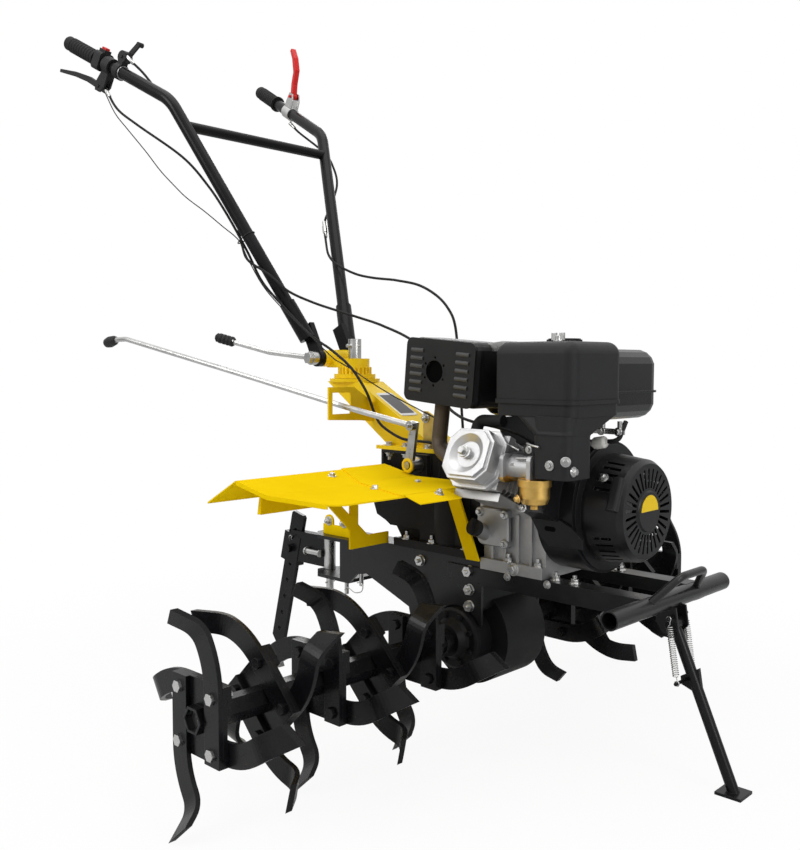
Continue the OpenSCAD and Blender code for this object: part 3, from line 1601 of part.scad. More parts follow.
module stop_button() {
  half = 23;
  color(red) place() on_bar(switch_at) translate([-half - 12, -6, -8])
    cube([9, 12, 16]);
}

// Throttle: clamp with a drum and a thumb lever
module throttle_base() {
  color("black") place() on_bar(throttle_at) difference() {
    union() {
      clamp_ring(18, 5);
      translate([-34, -9, -9]) cube([18, 18, 18]);
      translate([-36, 0, 0]) tube_y(-9, 9, 30);
    }
    cylinder(d = bar_d + 2 * run_gap, h = 60, center = true);
    translate([-36, 0, 0]) tube_y(-10, 10, 8 + 2 * run_gap);
  }
}

module throttle_lever() {
  arm_t = 5;
  color("black") place() on_bar(throttle_at) translate([-36, 0, 0]) union() {
    tube_y(-9 - slip_gap - arm_t, 12, 8);
    tube_y(-9 - slip_gap - arm_t, -9 - slip_gap, 26);
    translate([0, -9 - slip_gap, 0]) rotate([90, 0, 0]) linear_extrude(arm_t)
      polygon([[-6, -8], [-6, 8], [-42, -14], [-46, -22], [-38, -26]]);
    translate([-42, 0, -20]) tube_y(-9 - slip_gap - arm_t - 10, -9 - slip_gap, 12);
  }
}

// Lock bracket and red lever on the left-hand tube
lock_pin_x = -46;
module lock_bracket() {
  ear_t = 3;
  color(zinc) place() mirror_y() on_bar(lock_at) difference() {
    union() {
      clamp_ring(40, 4);
      for (y = [-12, 12 - ear_t])
        translate([0, y + ear_t, 0]) rotate([90, 0, 0]) linear_extrude(ear_t)
          polygon([[-16, -20], [-16, 20], [-38, 14], [-56, 8], [-56, -10], [-38, -20]]);
    }
    cylinder(d = bar_d + 2 * run_gap, h = 90, center = true);
    translate([lock_pin_x, 0, 0]) tube_y(-20, 20, 8 + 2 * run_gap);
  }
}

module lock_lever() {
  lever_w = 14;
  color(red) place() mirror_y() on_bar(lock_at) translate([lock_pin_x, 0, 0])
    union() {
      tube_y(-16, 16, 8);
      translate([0, lever_w / 2, 0]) rotate([90, 0, 0]) linear_extrude(lever_w)
        union() {
          circle(r = 8);
          polygon([
          [0, -7], [0, 7], [-32, 18], [-64, 22], [-95, 46], [-112, 68],
          [-119, 63], [-101, 36], [-72, 12], [-34, 6]
        ]);
        }
    }
}

// Clamp lever: tilting pin with a cranked arm and a ribbed knob
module clamp_lever() {
  outer = eye_y0 + eye_t + slip_gap;
  start = [-pivot_x, -outer - 10, pivot_z];
  bend = [-560, -124, 752];
  arm_end = [-640, -166, 776];
  color("black") place() union() {
    translate([-pivot_x, 0, pivot_z]) union() {
      tube_y(-outer - 26, outer + 16, pin_d);
      tube_y(-outer - 18, -outer, 32);
      translate([0, -outer - 18, 0]) rotate([90, 0, 0]) hex(24, 10);
      translate([0, outer + 12, 0]) rotate([90, 0, 0]) hex(24, 12);
    }
    bent_bar([start, bend, arm_end + unit(arm_end - bend) * 6], 12, 40);
    along(arm_end, arm_end + (arm_end - bend)) rotate_extrude()
      polygon(concat(
        [[0, 0], [9, 0]],
        [for (k = [0 : 3]) each [[12, 4 + 10 * k], [12, 9 + 10 * k], [10, 11 + 10 * k]]],
        [[11, 45], [7, 49], [0, 49]]
      ));
  }
}

// Shift lever on the upper gear case and the long rod back to the operator
module shift_lever() {
  lever_len = norm([lever_top[0] - shift_x, lever_top[1] - shift_z]);
  lean = atan2(lever_top[0] - shift_x, lever_top[1] - shift_z);
  color(zinc) place() translate([shift_x, 0, shift_z]) union() {
    tube_y(lever_y - lever_t - 4, -upper_hw + 26, shift_shaft_d);
    tube_y(lever_y - lever_t, -upper_hw - slip_gap, 32);
    rotate([0, lean, 0]) difference() {
      union() {
        slab_y(lever_y - lever_t, lever_y)
          polygon([[-11, 0], [11, 0], [8, lever_len + 8], [-8, lever_len + 8]]);
        translate([0, 0, lever_len])
          tube_y(lever_y - lever_t - rod_d - 8, lever_y + 2, 8);
      }
    }
  }
}

module shift_rod() {
  knob_dir = rod_knob - rod_points[4];
  count = len(rod_points);
  color(zinc) place() union() {
    difference() {
      union() {
        bent_bar(rod_points, rod_d, 45);
        translate(rod_points[0]) tube_y(-rod_d / 2, rod_d / 2, 20);
      }
      translate(rod_points[0]) tube_y(-20, 20, 8 + 2 * run_gap);
    }
    along(rod_points[count - 1], rod_knob) rotate_extrude()
      polygon([[0, 0], [8, 0], [12, 10], [14, 30], [12, 44], [6, 50], [0, 50]]);
  }
}

// Control cables: from the levers down the tubes to the swivel, and from there to the engine and clutch
module cables_upper() {
  color("black") place()
    for (route = cable_routes_upper)
      swept(curve(route, cable_steps), cable_d, cable_sides);
}

module cables_lower() {
  color("black") place()
    for (route = cable_routes_lower)
      swept(curve(route, cable_steps), cable_d, cable_sides);
}

rail_right();
rail_left();
front_bumper();
lift_loop();
side_plate_right();
side_plate_left();
hitch_box();
gear_case();
axle_covers();
upper_gear_case();
column_bracket();
steering_column();
fender_right();
fender_left();
fender_struts();
frame_bolts();
crankcase();
cylinder_head();
rocker_cover();
fan_shroud();
recoil_cover();
muffler();
air_filter_cover();
air_filter_base();
carburetor();
fuel_tank();
spark_plug_cap();
fuel_cap();
oil_cap();
crankshaft();
recoil_grip();
axle_shaft();
tine_hub_right();
tine_hub_left();
blades_right();
blades_left();
blade_bolts();
stand_leg();
stand_springs();
stake_holder();
depth_stake();
swivel_head();
swivel_lock();
handlebar_right();
handlebar_left();
handle_brace();
handle_grips();
clutch_perch();
clutch_lever();
switch_box();
stop_button();
throttle_base();
throttle_lever();
lock_bracket();
lock_lever();
clamp_lever();
shift_lever();
shift_rod();
cables_upper();
cables_lower();
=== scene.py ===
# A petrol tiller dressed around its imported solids. Points are given in millimetres, X forward from the
# tine axle, Y to the machine's left and Z up from the ground, and spot() puts them in the part's frame.
import math

import bmesh
import bpy
from mathutils import Matrix, Vector

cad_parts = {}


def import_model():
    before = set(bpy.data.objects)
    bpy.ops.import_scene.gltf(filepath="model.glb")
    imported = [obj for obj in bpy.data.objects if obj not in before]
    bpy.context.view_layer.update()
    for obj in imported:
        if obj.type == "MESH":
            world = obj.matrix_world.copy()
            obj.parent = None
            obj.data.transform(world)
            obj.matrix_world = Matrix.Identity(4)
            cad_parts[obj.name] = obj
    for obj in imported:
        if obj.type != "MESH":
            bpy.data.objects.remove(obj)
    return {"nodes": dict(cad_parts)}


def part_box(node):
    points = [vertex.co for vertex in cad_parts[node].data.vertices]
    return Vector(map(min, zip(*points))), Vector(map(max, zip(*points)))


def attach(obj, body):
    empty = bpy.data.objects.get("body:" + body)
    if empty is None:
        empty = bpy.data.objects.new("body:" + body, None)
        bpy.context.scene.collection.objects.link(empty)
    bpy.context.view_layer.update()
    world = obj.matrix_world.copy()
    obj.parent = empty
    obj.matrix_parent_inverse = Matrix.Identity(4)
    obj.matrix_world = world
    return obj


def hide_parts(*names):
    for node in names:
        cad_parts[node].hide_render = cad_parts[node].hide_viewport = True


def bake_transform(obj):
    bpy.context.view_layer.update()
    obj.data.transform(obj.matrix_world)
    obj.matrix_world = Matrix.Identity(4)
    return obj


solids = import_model()["nodes"]
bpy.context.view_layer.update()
scene = bpy.context.scene


# Camera: it stands in front of the right-hand corner at the height of the fuel tank, with a normal lens.
# The place, turn and drop were fitted to the photograph's own perspective.
camera_place = Vector((1.51869, -1.5182, 0.7272))
camera_turn = math.radians(43.918)
camera_drop = math.radians(3.725)
camera_roll = math.radians(0.15)
focal_pixels = 947.44
picture_height = 850
lens = bpy.data.cameras.new("camera")
lens.sensor_width = 36.0
lens.lens = focal_pixels / picture_height * lens.sensor_width
lens.clip_end = 60.0
camera = bpy.data.objects.new("camera", lens)
scene.collection.objects.link(camera)
facing = Matrix.Rotation(camera_turn, 4, "Z") @ Matrix.Rotation(math.pi / 2 - camera_drop, 4, "X")
camera.matrix_world = Matrix.Translation(camera_place) @ facing @ Matrix.Rotation(camera_roll, 4, "Z")
scene.camera = camera


# Studio: a white paper floor under large soft lamps, in a white surround that reflects darker near the
# ground. The floor keeps a pale contact shadow near the machine and fades into the surround further out.
def maths(tree, operation, first, second, clamp=False):
    step = tree.nodes.new("ShaderNodeMath")
    step.operation = operation
    step.use_clamp = clamp
    for place, value in enumerate((first, second)):
        if isinstance(value, (int, float)):
            step.inputs[place].default_value = value
        else:
            tree.links.new(value, step.inputs[place])
    return step.outputs[0]


def ranged(tree, value, source, target, smooth=False):
    step = tree.nodes.new("ShaderNodeMapRange")
    if smooth:
        step.interpolation_type = "SMOOTHSTEP"
    for label, number in zip(("From Min", "From Max", "To Min", "To Max"), (*source, *target)):
        step.inputs[label].default_value = number
    tree.links.new(value, step.inputs["Value"])
    return step.outputs["Result"]


def mix_shaders(tree, share, first, second):
    step = tree.nodes.new("ShaderNodeMixShader")
    for place, value in enumerate((share, first, second)):
        tree.links.new(value, step.inputs[place])
    return step.outputs[0]


def backdrop(tree, colour, strength):
    step = tree.nodes.new("ShaderNodeBackground")
    step.inputs["Color"].default_value = (*colour, 1.0)
    step.inputs["Strength"].default_value = strength
    return step


scene.view_settings.view_transform = "Standard"
plain_white = (1.0, 1.0, 1.0)
fill_white = (0.96, 0.98, 1.0)
fill_strength = 0.34
gloss_heights = (-0.2, 0.75)
gloss_strengths = (0.5, 1.2)
surround = bpy.data.worlds.new("studio_surround")
scene.world = surround
surround.use_nodes = True
sky = surround.node_tree
sky.nodes.clear()
sky_out = sky.nodes.new("ShaderNodeOutputWorld")
sky_path = sky.nodes.new("ShaderNodeLightPath")
sky_place = sky.nodes.new("ShaderNodeTexCoord")
sky_split = sky.nodes.new("ShaderNodeSeparateXYZ")
sky_fill = backdrop(sky, fill_white, fill_strength)
sky_gloss = backdrop(sky, plain_white, 1.0)
sky_white = backdrop(sky, plain_white, 1.0)
sky.links.new(sky_place.outputs["Generated"], sky_split.inputs[0])
sky_rise = ranged(sky, sky_split.outputs["Z"], gloss_heights, gloss_strengths, smooth=True)
sky.links.new(sky_rise, sky_gloss.inputs["Strength"])
sky_near = mix_shaders(sky, sky_path.outputs["Is Glossy Ray"], sky_fill.outputs[0], sky_gloss.outputs[0])
sky_seen = maths(sky, "MAXIMUM", sky_path.outputs["Is Camera Ray"], sky_path.outputs["Is Transmission Ray"])
sky_whole = mix_shaders(sky, sky_seen, sky_near, sky_white.outputs[0])
sky.links.new(sky_whole, sky_out.inputs["Surface"])

floor_half = 14.0
floor_drop = 0.0005
floor_grey = (0.88, 0.88, 0.88, 1.0)
fade_reach = (0.5, 1.5)
fade_share = (0.92, 1.0)
floor_corners = [(-floor_half, -floor_half), (floor_half, -floor_half),
                 (floor_half, floor_half), (-floor_half, floor_half)]
floor_mesh = bpy.data.meshes.new("studio_floor")
floor_mesh.from_pydata([(x, y, -floor_drop) for x, y in floor_corners], [], [(0, 1, 2, 3)])
floor = bpy.data.objects.new("studio_floor", floor_mesh)
scene.collection.objects.link(floor)
paper = bpy.data.materials.new("paper_floor")
paper.use_nodes = True
sheet = paper.node_tree
sheet.nodes.clear()
sheet_out = sheet.nodes.new("ShaderNodeOutputMaterial")
sheet_lit = sheet.nodes.new("ShaderNodeBsdfDiffuse")
sheet_lit.inputs["Color"].default_value = floor_grey
sheet_white = sheet.nodes.new("ShaderNodeEmission")
sheet_white.inputs["Strength"].default_value = 1.0
sheet_path = sheet.nodes.new("ShaderNodeLightPath")
sheet_place = sheet.nodes.new("ShaderNodeNewGeometry")
sheet_far = sheet.nodes.new("ShaderNodeVectorMath")
sheet_far.operation = "LENGTH"
sheet.links.new(sheet_place.outputs["Position"], sheet_far.inputs[0])
sheet_fade = ranged(sheet, sheet_far.outputs["Value"], fade_reach, fade_share, smooth=True)
sheet_share = maths(sheet, "MULTIPLY", sheet_path.outputs["Is Camera Ray"], sheet_fade)
sheet_mix = mix_shaders(sheet, sheet_share, sheet_lit.outputs[0], sheet_white.outputs[0])
sheet.links.new(sheet_mix, sheet_out.inputs["Surface"])
floor_mesh.materials.append(paper)


def soft_lamp(name, place, target, width, height, watts):
    lamp = bpy.data.lights.new(name, "AREA")
    lamp.shape = "RECTANGLE"
    lamp.size = width
    lamp.size_y = height
    lamp.energy = watts
    stand = bpy.data.objects.new(name, lamp)
    stand.location = Vector(place)
    aim = Vector(target) - Vector(place)
    stand.rotation_euler = aim.to_track_quat("-Z", "Y").to_euler()
    scene.collection.objects.link(stand)


soft_lamp("top_lamp", (0.2, -0.2, 3.4), (0.0, 0.0, 0.6), 2.6, 2.6, 46)
soft_lamp("key_lamp", (-0.9, -3.3, 2.3), (0.0, 0.0, 0.6), 1.6, 1.4, 50)
soft_lamp("front_lamp", (3.6, -0.6, 1.5), (0.1, 0.0, 0.6), 1.2, 1.6, 36)
soft_lamp("back_lamp", (-2.6, 2.6, 2.2), (0.0, 0.0, 0.7), 1.4, 1.4, 26)


# Frame: two angle rails under the engine, a front bumper tube with its lifting loop, two side plates
# and the hitch box. All are steel, welded or bolted, then dipped in thick semi-gloss black enamel.
axle_low, axle_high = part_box("axle_shaft")
axle_x = (axle_low.x + axle_high.x) / 2


def spot(x, y, z):
    return Vector((axle_x + x / 1000, y / 1000, z / 1000))


def new_group(name, inputs, outputs):
    group = bpy.data.node_groups.new(name, "ShaderNodeTree")
    for label, value in inputs:
        socket = group.interface.new_socket(label, in_out="INPUT", socket_type="NodeSocketFloat")
        socket.default_value = value
    for label, kind in outputs:
        group.interface.new_socket(label, in_out="OUTPUT", socket_type=kind)
    return group, group.nodes.new("NodeGroupInput"), group.nodes.new("NodeGroupOutput")


soft_edge, edge_in, edge_out = new_group(
    "soft_edge",
    [("Radius", 0.001), ("Gain", 6.0)],
    [("Normal", "NodeSocketVector"), ("Edge", "NodeSocketFloat")],
)
edge_round = soft_edge.nodes.new("ShaderNodeBevel")
edge_round.samples = 4
edge_facing = soft_edge.nodes.new("ShaderNodeNewGeometry")
edge_dot = soft_edge.nodes.new("ShaderNodeVectorMath")
edge_dot.operation = "DOT_PRODUCT"
soft_edge.links.new(edge_in.outputs["Radius"], edge_round.inputs["Radius"])
soft_edge.links.new(edge_round.outputs[0], edge_dot.inputs[0])
soft_edge.links.new(edge_facing.outputs["Normal"], edge_dot.inputs[1])
edge_bend = maths(soft_edge, "SUBTRACT", 1.0, edge_dot.outputs["Value"], True)
edge_mask = maths(soft_edge, "MULTIPLY", edge_bend, edge_in.outputs["Gain"], True)
soft_edge.links.new(edge_round.outputs[0], edge_out.inputs["Normal"])
soft_edge.links.new(edge_mask, edge_out.inputs["Edge"])

surface_grain, grain_in, grain_out = new_group(
    "surface_grain",
    [("Scale", 600.0), ("Patch", 14.0)],
    [("Height", "NodeSocketFloat"), ("Mottle", "NodeSocketFloat")],
)
grain_space = surface_grain.nodes.new("ShaderNodeTexCoord")
grain_fine = surface_grain.nodes.new("ShaderNodeTexNoise")
grain_fine.inputs["Detail"].default_value = 2.0
grain_wide = surface_grain.nodes.new("ShaderNodeTexNoise")
grain_wide.inputs["Detail"].default_value = 5.0
grain_wide.inputs["Roughness"].default_value = 0.62
for noise, size, result in ((grain_fine, "Scale", "Height"), (grain_wide, "Patch", "Mottle")):
    surface_grain.links.new(grain_space.outputs["Object"], noise.inputs["Vector"])
    surface_grain.links.new(grain_in.outputs[size], noise.inputs["Scale"])
    surface_grain.links.new(noise.outputs["Fac"], grain_out.inputs[result])

settled_dust, dust_in, dust_out = new_group(
    "settled_dust",
    [("Amount", 0.1), ("Patch", 30.0)],
    [("Dust", "NodeSocketFloat")],
)
dust_facing = settled_dust.nodes.new("ShaderNodeNewGeometry")
dust_split = settled_dust.nodes.new("ShaderNodeSeparateXYZ")
dust_space = settled_dust.nodes.new("ShaderNodeTexCoord")
dust_cloud = settled_dust.nodes.new("ShaderNodeTexNoise")
dust_cloud.inputs["Detail"].default_value = 6.0
settled_dust.links.new(dust_facing.outputs["Normal"], dust_split.inputs[0])
settled_dust.links.new(dust_space.outputs["Object"], dust_cloud.inputs["Vector"])
settled_dust.links.new(dust_in.outputs["Patch"], dust_cloud.inputs["Scale"])
dust_up = maths(settled_dust, "MULTIPLY", dust_split.outputs["Z"], dust_cloud.outputs["Fac"], True)
dust_mask = maths(settled_dust, "MULTIPLY", dust_up, dust_in.outputs["Amount"], True)
settled_dust.links.new(dust_mask, dust_out.inputs["Dust"])


def place_group(tree, group, **values):
    step = tree.nodes.new("ShaderNodeGroup")
    step.node_tree = group
    for label, value in values.items():
        step.inputs[label].default_value = value
    return step


def blend_colours(tree, share, first, second):
    step = tree.nodes.new("ShaderNodeMix")
    step.data_type = "RGBA"
    tree.links.new(share, step.inputs["Factor"])
    for label, value in (("A", first), ("B", second)):
        socket = [s for s in step.inputs if s.name == label and s.type == "RGBA"][0]
        if isinstance(value, tuple):
            socket.default_value = (*value, 1.0)
        else:
            tree.links.new(value, socket)
    return [s for s in step.outputs if s.type == "RGBA"][0]


mottle_span = (0.3, 0.7)
dust_colour = (0.42, 0.39, 0.34)
bump_depth = 0.0006


def finish(name, deep, pale, rough, metal=0.0, shine=0.3, grain=900.0, relief=0.05, patch=14.0,
           radius=0.001, edge_wear_and_highlight=0.25, edge_wear_highlight_colour=(0.3, 0.3, 0.3), dust=0.05):
    material = bpy.data.materials.new(name)
    material.use_nodes = True
    tree = material.node_tree
    skin = tree.nodes["Principled BSDF"]
    edge = place_group(tree, soft_edge, Radius=radius)
    texture = place_group(tree, surface_grain, Scale=grain, Patch=patch)
    film = place_group(tree, settled_dust, Amount=dust)
    mottle = texture.outputs["Mottle"]
    base = blend_colours(tree, ranged(tree, mottle, mottle_span, (0.0, 1.0)), deep, pale)
    # Edges and corners are blended toward a paler colour, partly wear and partly a painted highlight along
    # them.
    edge_wear_and_highlight_mask = maths(tree, "MULTIPLY", edge.outputs["Edge"], mottle)
    edge_wear_and_highlight_mask = maths(tree, "MULTIPLY", edge_wear_and_highlight_mask, edge_wear_and_highlight, True)
    base = blend_colours(tree, edge_wear_and_highlight_mask, base, edge_wear_highlight_colour)
    base = blend_colours(tree, film.outputs["Dust"], base, dust_colour)
    tree.links.new(base, skin.inputs["Base Color"])
    tree.links.new(ranged(tree, mottle, mottle_span, rough), skin.inputs["Roughness"])
    skin.inputs["Metallic"].default_value = metal
    skin.inputs["Specular IOR Level"].default_value = shine
    bump = tree.nodes.new("ShaderNodeBump")
    bump.inputs["Strength"].default_value = relief
    bump.inputs["Distance"].default_value = bump_depth
    tree.links.new(texture.outputs["Height"], bump.inputs["Height"])
    tree.links.new(edge.outputs["Normal"], bump.inputs["Normal"])
    tree.links.new(bump.outputs["Normal"], skin.inputs["Normal"])
    return material


def dress(material, *names):
    for name in names:
        mesh = solids[name].data
        mesh.materials.clear()
        mesh.materials.append(material)


def seat(place, aim):
    return Matrix.Translation(place) @ Vector(aim).to_track_quat("Z", "Y").to_matrix().to_4x4()


def turned(mesh, profile, where, sides=24):
    rings = []
    for radius, height in profile:
        corners = 1 if radius == 0 else sides
        ring = []
        for step in range(corners):
            angle = 2 * math.pi * step / corners
            point = Vector((radius * math.cos(angle), radius * math.sin(angle), height)) / 1000
            ring.append(mesh.verts.new(where @ point))
        rings.append(ring)
    for low, high in zip(rings, rings[1:]):
        for step in range(sides):
            after = (step + 1) % sides
            if len(low) == 1:
                mesh.faces.new((low[0], high[step], high[after]))
            elif len(high) == 1:
                mesh.faces.new((low[step], low[after], high[0]))
            else:
                mesh.faces.new((low[step], low[after], high[after], high[step]))


washer_share = 0.86
head_share = 0.55
crown_share = 0.86
core_share = 0.31
tip_share = 0.7


def bolt(mesh, place, aim, across, stud=0.0, washer=1.6):
    where = seat(place, aim)
    corner = across / math.sqrt(3)
    rim = across * washer_share
    under = washer - 0.2
    top = washer + across * head_share
    turned(mesh, [(0, -0.4), (rim, -0.4), (rim, washer - 0.4), (rim - 0.5, washer), (0, washer)], where)
    head = [(0, under), (corner, under), (corner, top - 1.1), (corner * crown_share, top), (0, top)]
    turned(mesh, head, where, 6)
    if stud:
        core = across * core_share
        tip = top + stud
        turned(mesh, [(core, top - 0.5), (core, tip - 1), (core * tip_share, tip), (0, tip)], where, 14)


plain_crease = 34
round_crease = 60


def piece(name, mesh, material, body, crease=plain_crease):
    bmesh.ops.recalc_face_normals(mesh, faces=mesh.faces)
    data = bpy.data.meshes.new(name)
    mesh.to_mesh(data)
    mesh.free()
    data.shade_smooth()
    data.set_sharp_from_angle(angle=math.radians(crease))
    data.materials.append(material)
    thing = bpy.data.objects.new(name, data)
    scene.collection.objects.link(thing)
    if body:
        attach(thing, body)
    return thing


def fasteners(name, across, places, stud=0.0, washer=1.6, material=None):
    mesh = bmesh.new()
    for place, aim in places:
        bolt(mesh, spot(*place), aim, across, stud, washer)
    piece(name, mesh, material or zinc_plate, "chassis")


def both_sides(along, across, height, aim):
    return [((x, side * across, height), aim) for x in along for side in (-1, 1)]


upward = (0, 0, 1)
black_enamel = finish("black_enamel", (0.006, 0.006, 0.007), (0.011, 0.011, 0.012), (0.24, 0.38),
                      shine=0.28, grain=420.0, relief=0.12, edge_wear_and_highlight=0.12, edge_wear_highlight_colour=(0.07, 0.07, 0.07), dust=0.03)
dress(black_enamel, "rail_right", "rail_left", "front_bumper", "lift_loop", "side_plate_right",
      "side_plate_left", "hitch_box")

zinc_plate = finish("zinc_plate", (0.43, 0.43, 0.42), (0.54, 0.54, 0.53), (0.24, 0.36), metal=1.0,
                    grain=1400.0, relief=0.05, patch=40.0, edge_wear_and_highlight=0.3, edge_wear_highlight_colour=(0.8, 0.8, 0.8), dust=0.02)
dress(zinc_plate, "frame_bolts")

plate_bolts = [(-100, 322), (-100, 283), (31, 320), (31, 283), (31, 250)]
plate_face = 96
head_face = 104
washer_ring = [(9, -0.3), (11.5, -0.3), (11.5, 1.4), (11, 1.8), (9, 1.8)]
bolt_end = [(4, -0.3), (4, 5), (2.8, 6.2), (0, 6.2)]
mesh = bmesh.new()
for side in (-1, 1):
    for x, z in plate_bolts:
        turned(mesh, washer_ring, seat(spot(x, side * plate_face, z), (0, side, 0)))
        turned(mesh, bolt_end, seat(spot(x, side * head_face, z), (0, side, 0)), 16)
piece("plate_bolt_ends", mesh, zinc_plate, "chassis")

rail_top = 330
rail_face = 100
slot_z = 324
fasteners("rail_bolts", 13, both_sides((222, 262), 78, rail_top, upward), stud=7)
rail_slots = [((x, side * rail_face, slot_z), (0, side, 0)) for x in (126, 217) for side in (-1, 1)]
fasteners("rail_studs", 9, rail_slots, washer=1.2)


# Hitch: a yellow lug bolted to the box, and plain pins with spring clips through their ends.
# The clips are bent from round wire, so each is a swept tube.
def spots(*points):
    return [spot(*point) for point in points]


def smooth_route(points, steps, before=None, after=None):
    ends = [before or 2 * points[0] - points[1]] + points + [after or 2 * points[-1] - points[-2]]
    route = []
    for first, second, third, fourth in zip(ends, ends[1:], ends[2:], ends[3:]):
        for step in range(steps):
            t = step / steps
            bend = (2 * first - 5 * second + 4 * third - fourth) * t * t
            twist = (3 * second - first - 3 * third + fourth) * t ** 3
            route.append((2 * second + (third - first) * t + bend + twist) / 2)
    return route + [points[-1]]


def tube(mesh, route, radius, sides=10):
    last = len(route) - 1
    aims = [(route[min(k + 1, last)] - route[max(k - 1, 0)]).normalized() for k in range(len(route))]
    across = aims[0].orthogonal().normalized()
    rings = []
    for place, aim in zip(route, aims):
        across = (across - aim * across.dot(aim)).normalized()
        other = aim.cross(across)
        ring = []
        for step in range(sides):
            angle = 2 * math.pi * step / sides
            offset = across * math.cos(angle) + other * math.sin(angle)
            ring.append(mesh.verts.new(place + offset * radius / 1000))
        rings.append(ring)
    for low, high in zip(rings, rings[1:]):
        for step in range(sides):
            after = (step + 1) % sides
            mesh.faces.new((low[step], low[after], high[after], high[step]))
    mesh.faces.new(rings[0])
    mesh.faces.new(rings[-1])


clip_length = 44
clip_outline = [(0, 0, -12), (0, 0, 8), (3, 0, 16), (8, 0, 20), (11, 0, 14), (6, 0, 6),
                (7, 0, -4), (4, 0, -8)]


def spring_clip(mesh, place, aim, length=clip_length, wire=1.5):
    where = seat(place, aim)
    stretch = length / clip_length
    points = [where @ (Vector(point) * stretch / 1000) for point in clip_outline]
    tube(mesh, smooth_route(points, 5), wire, 8)


hitch_pin_x = -488
pin_y = -39
pin_top = 300
mesh = bmesh.new()
spring_clip(mesh, spot(hitch_pin_x, 0, 214), (0.5, -0.86, 0))
for x, low in ((-386, 192), (-337, 219)):
    pin = [(0, low), (4, low + 0.4), (5, low + 1.6), (5, pin_top), (0, pin_top)]
    turned(mesh, pin, Matrix.Translation(spot(x, pin_y, 0)))
clip_wire = spots((-386, -46, 203), (-374, -47, 211), (-352, -47, 203), (-330, -47, 208),
                  (-325, -46, 220), (-333, -45, 228), (-345, -45, 226))
tube(mesh, smooth_route(clip_wire, 6), 1.2, 8)
piece("hitch_clips", mesh, zinc_plate, "chassis")
right_out = (0, -1, 0)
lug_bolts = [((x, -30, 354), right_out) for x in (-458, -405)]
fasteners("lug_bolts", 13, lug_bolts, stud=4)


# Gear case: a cast lower case with a round end around the axle, its bolted covers, a ribbed upper case
# and the pressed bridge under the column. The castings are sprayed black over their sandy skin.
black_casting = finish("black_casting", (0.005, 0.005, 0.006), (0.01, 0.01, 0.011), (0.36, 0.52),
                       shine=0.14, grain=520.0, relief=0.4, patch=22.0, edge_wear_and_highlight=0.1,
                       edge_wear_highlight_colour=(0.08, 0.08, 0.08), dust=0.03)
dress(black_casting, "gear_case", "axle_covers", "upper_gear_case")
dress(black_enamel, "column_bracket")
flange_top = 362
fasteners("flange_bolts", 12, both_sides((-140, -70, 20), 97, flange_top, upward), stud=8)
bridge_foot = 491
fasteners("bridge_bolts", 12, both_sides((-238, -112), 48, bridge_foot, upward), stud=6)


# Fenders: bent sheets over the tines on flat struts, in yellow enamel with a low sheen.
# Small zinc bolts hold each sheet to its struts, one of them through the tab at its front.
yellow_sheet = finish("yellow_sheet", (0.9, 0.6, 0.003), (0.95, 0.65, 0.005), (0.5, 0.62), shine=0.0,
                      grain=360.0, relief=0.08, patch=9.0, radius=0.0012, edge_wear_and_highlight=0.1,
                      edge_wear_highlight_colour=(0.95, 0.75, 0.1), dust=0.01)
dress(yellow_sheet, "fender_right", "fender_left", "fender_struts")
fender_holes = ((-153, 294, 508.5, 0.2), (-22, 306, 497, 0), (-22, 190, 497, 0))
fender_bolts = [((x, side * y, z), (lean, 0, 1)) for x, y, z, lean in fender_holes for side in (-1, 1)]
fasteners("fender_bolts", 10, fender_bolts)
tab_face = (0.28, 0, 0.96)
fasteners("tab_bolts", 10, both_sides((97,), 263, 495.4, tab_face), stud=3)


# Steering column: a leaning box of folded sheet in bright yellow enamel on a bolted base plate.
# A gold zinc bracket stands beside it for the cables, and a dark plate is riveted to its upper face.
def rounded_outline(width, height, corner, steps=5):
    outline = []
    for turn, (x, y) in enumerate(((1, 1), (-1, 1), (-1, -1), (1, -1))):
        for step in range(steps + 1):
            angle = math.pi / 2 * (turn + step / steps)
            outline.append((x * (width / 2 - corner) + corner * math.cos(angle),
                            y * (height / 2 - corner) + corner * math.sin(angle)))
    return outline


def pressing(mesh, outline, where, thick, chamfer=0.4):
    middle = sum((Vector(point) for point in outline), Vector((0, 0))) / len(outline)
    reach = max((Vector(point) - middle).length for point in outline)
    rings = []
    for inset, height in ((0, -0.3), (0, thick - chamfer), (chamfer, thick)):
        ring = [middle + (Vector(point) - middle) * (1 - inset / reach) for point in outline]
        rings.append([mesh.verts.new(where @ (Vector((x, y, height)) / 1000)) for x, y in ring])
    for low, high in zip(rings, rings[1:]):
        for step in range(len(outline)):
            after = (step + 1) % len(outline)
            mesh.faces.new((low[step], low[after], high[after], high[step]))
    mesh.faces.new(rings[0])
    mesh.faces.new(rings[-1])


def pressed_piece(name, outline, where, thick, material, chamfer=0.4):
    mesh = bmesh.new()
    pressing(mesh, outline, where, thick, chamfer)
    piece(name, mesh, material, "chassis")


side_view = Matrix(((1, 0, 0, 0), (0, 0, -1, 0), (0, 1, 0, 0), (0, 0, 0, 1)))


def side_plane(y):
    return Matrix.Translation(spot(0, y, 0)) @ side_view


yellow_enamel = finish("yellow_enamel", (0.84, 0.56, 0.004), (0.9, 0.62, 0.006), (0.3, 0.42), shine=0.22,
                       grain=360.0, relief=0.08, patch=9.0, radius=0.0012, edge_wear_and_highlight=0.1,
                       edge_wear_highlight_colour=(0.95, 0.78, 0.15), dust=0.01)
dress(yellow_enamel, "steering_column", "swivel_head")
base_top = 549
bridge_under = 533
base_holes = (-236, -186, -122)
downward = (0, 0, -1)
fasteners("column_bolts", 12, both_sides(base_holes, 52, base_top, upward))
fasteners("column_nuts", 12, both_sides(base_holes, 52, bridge_under, downward), stud=8)

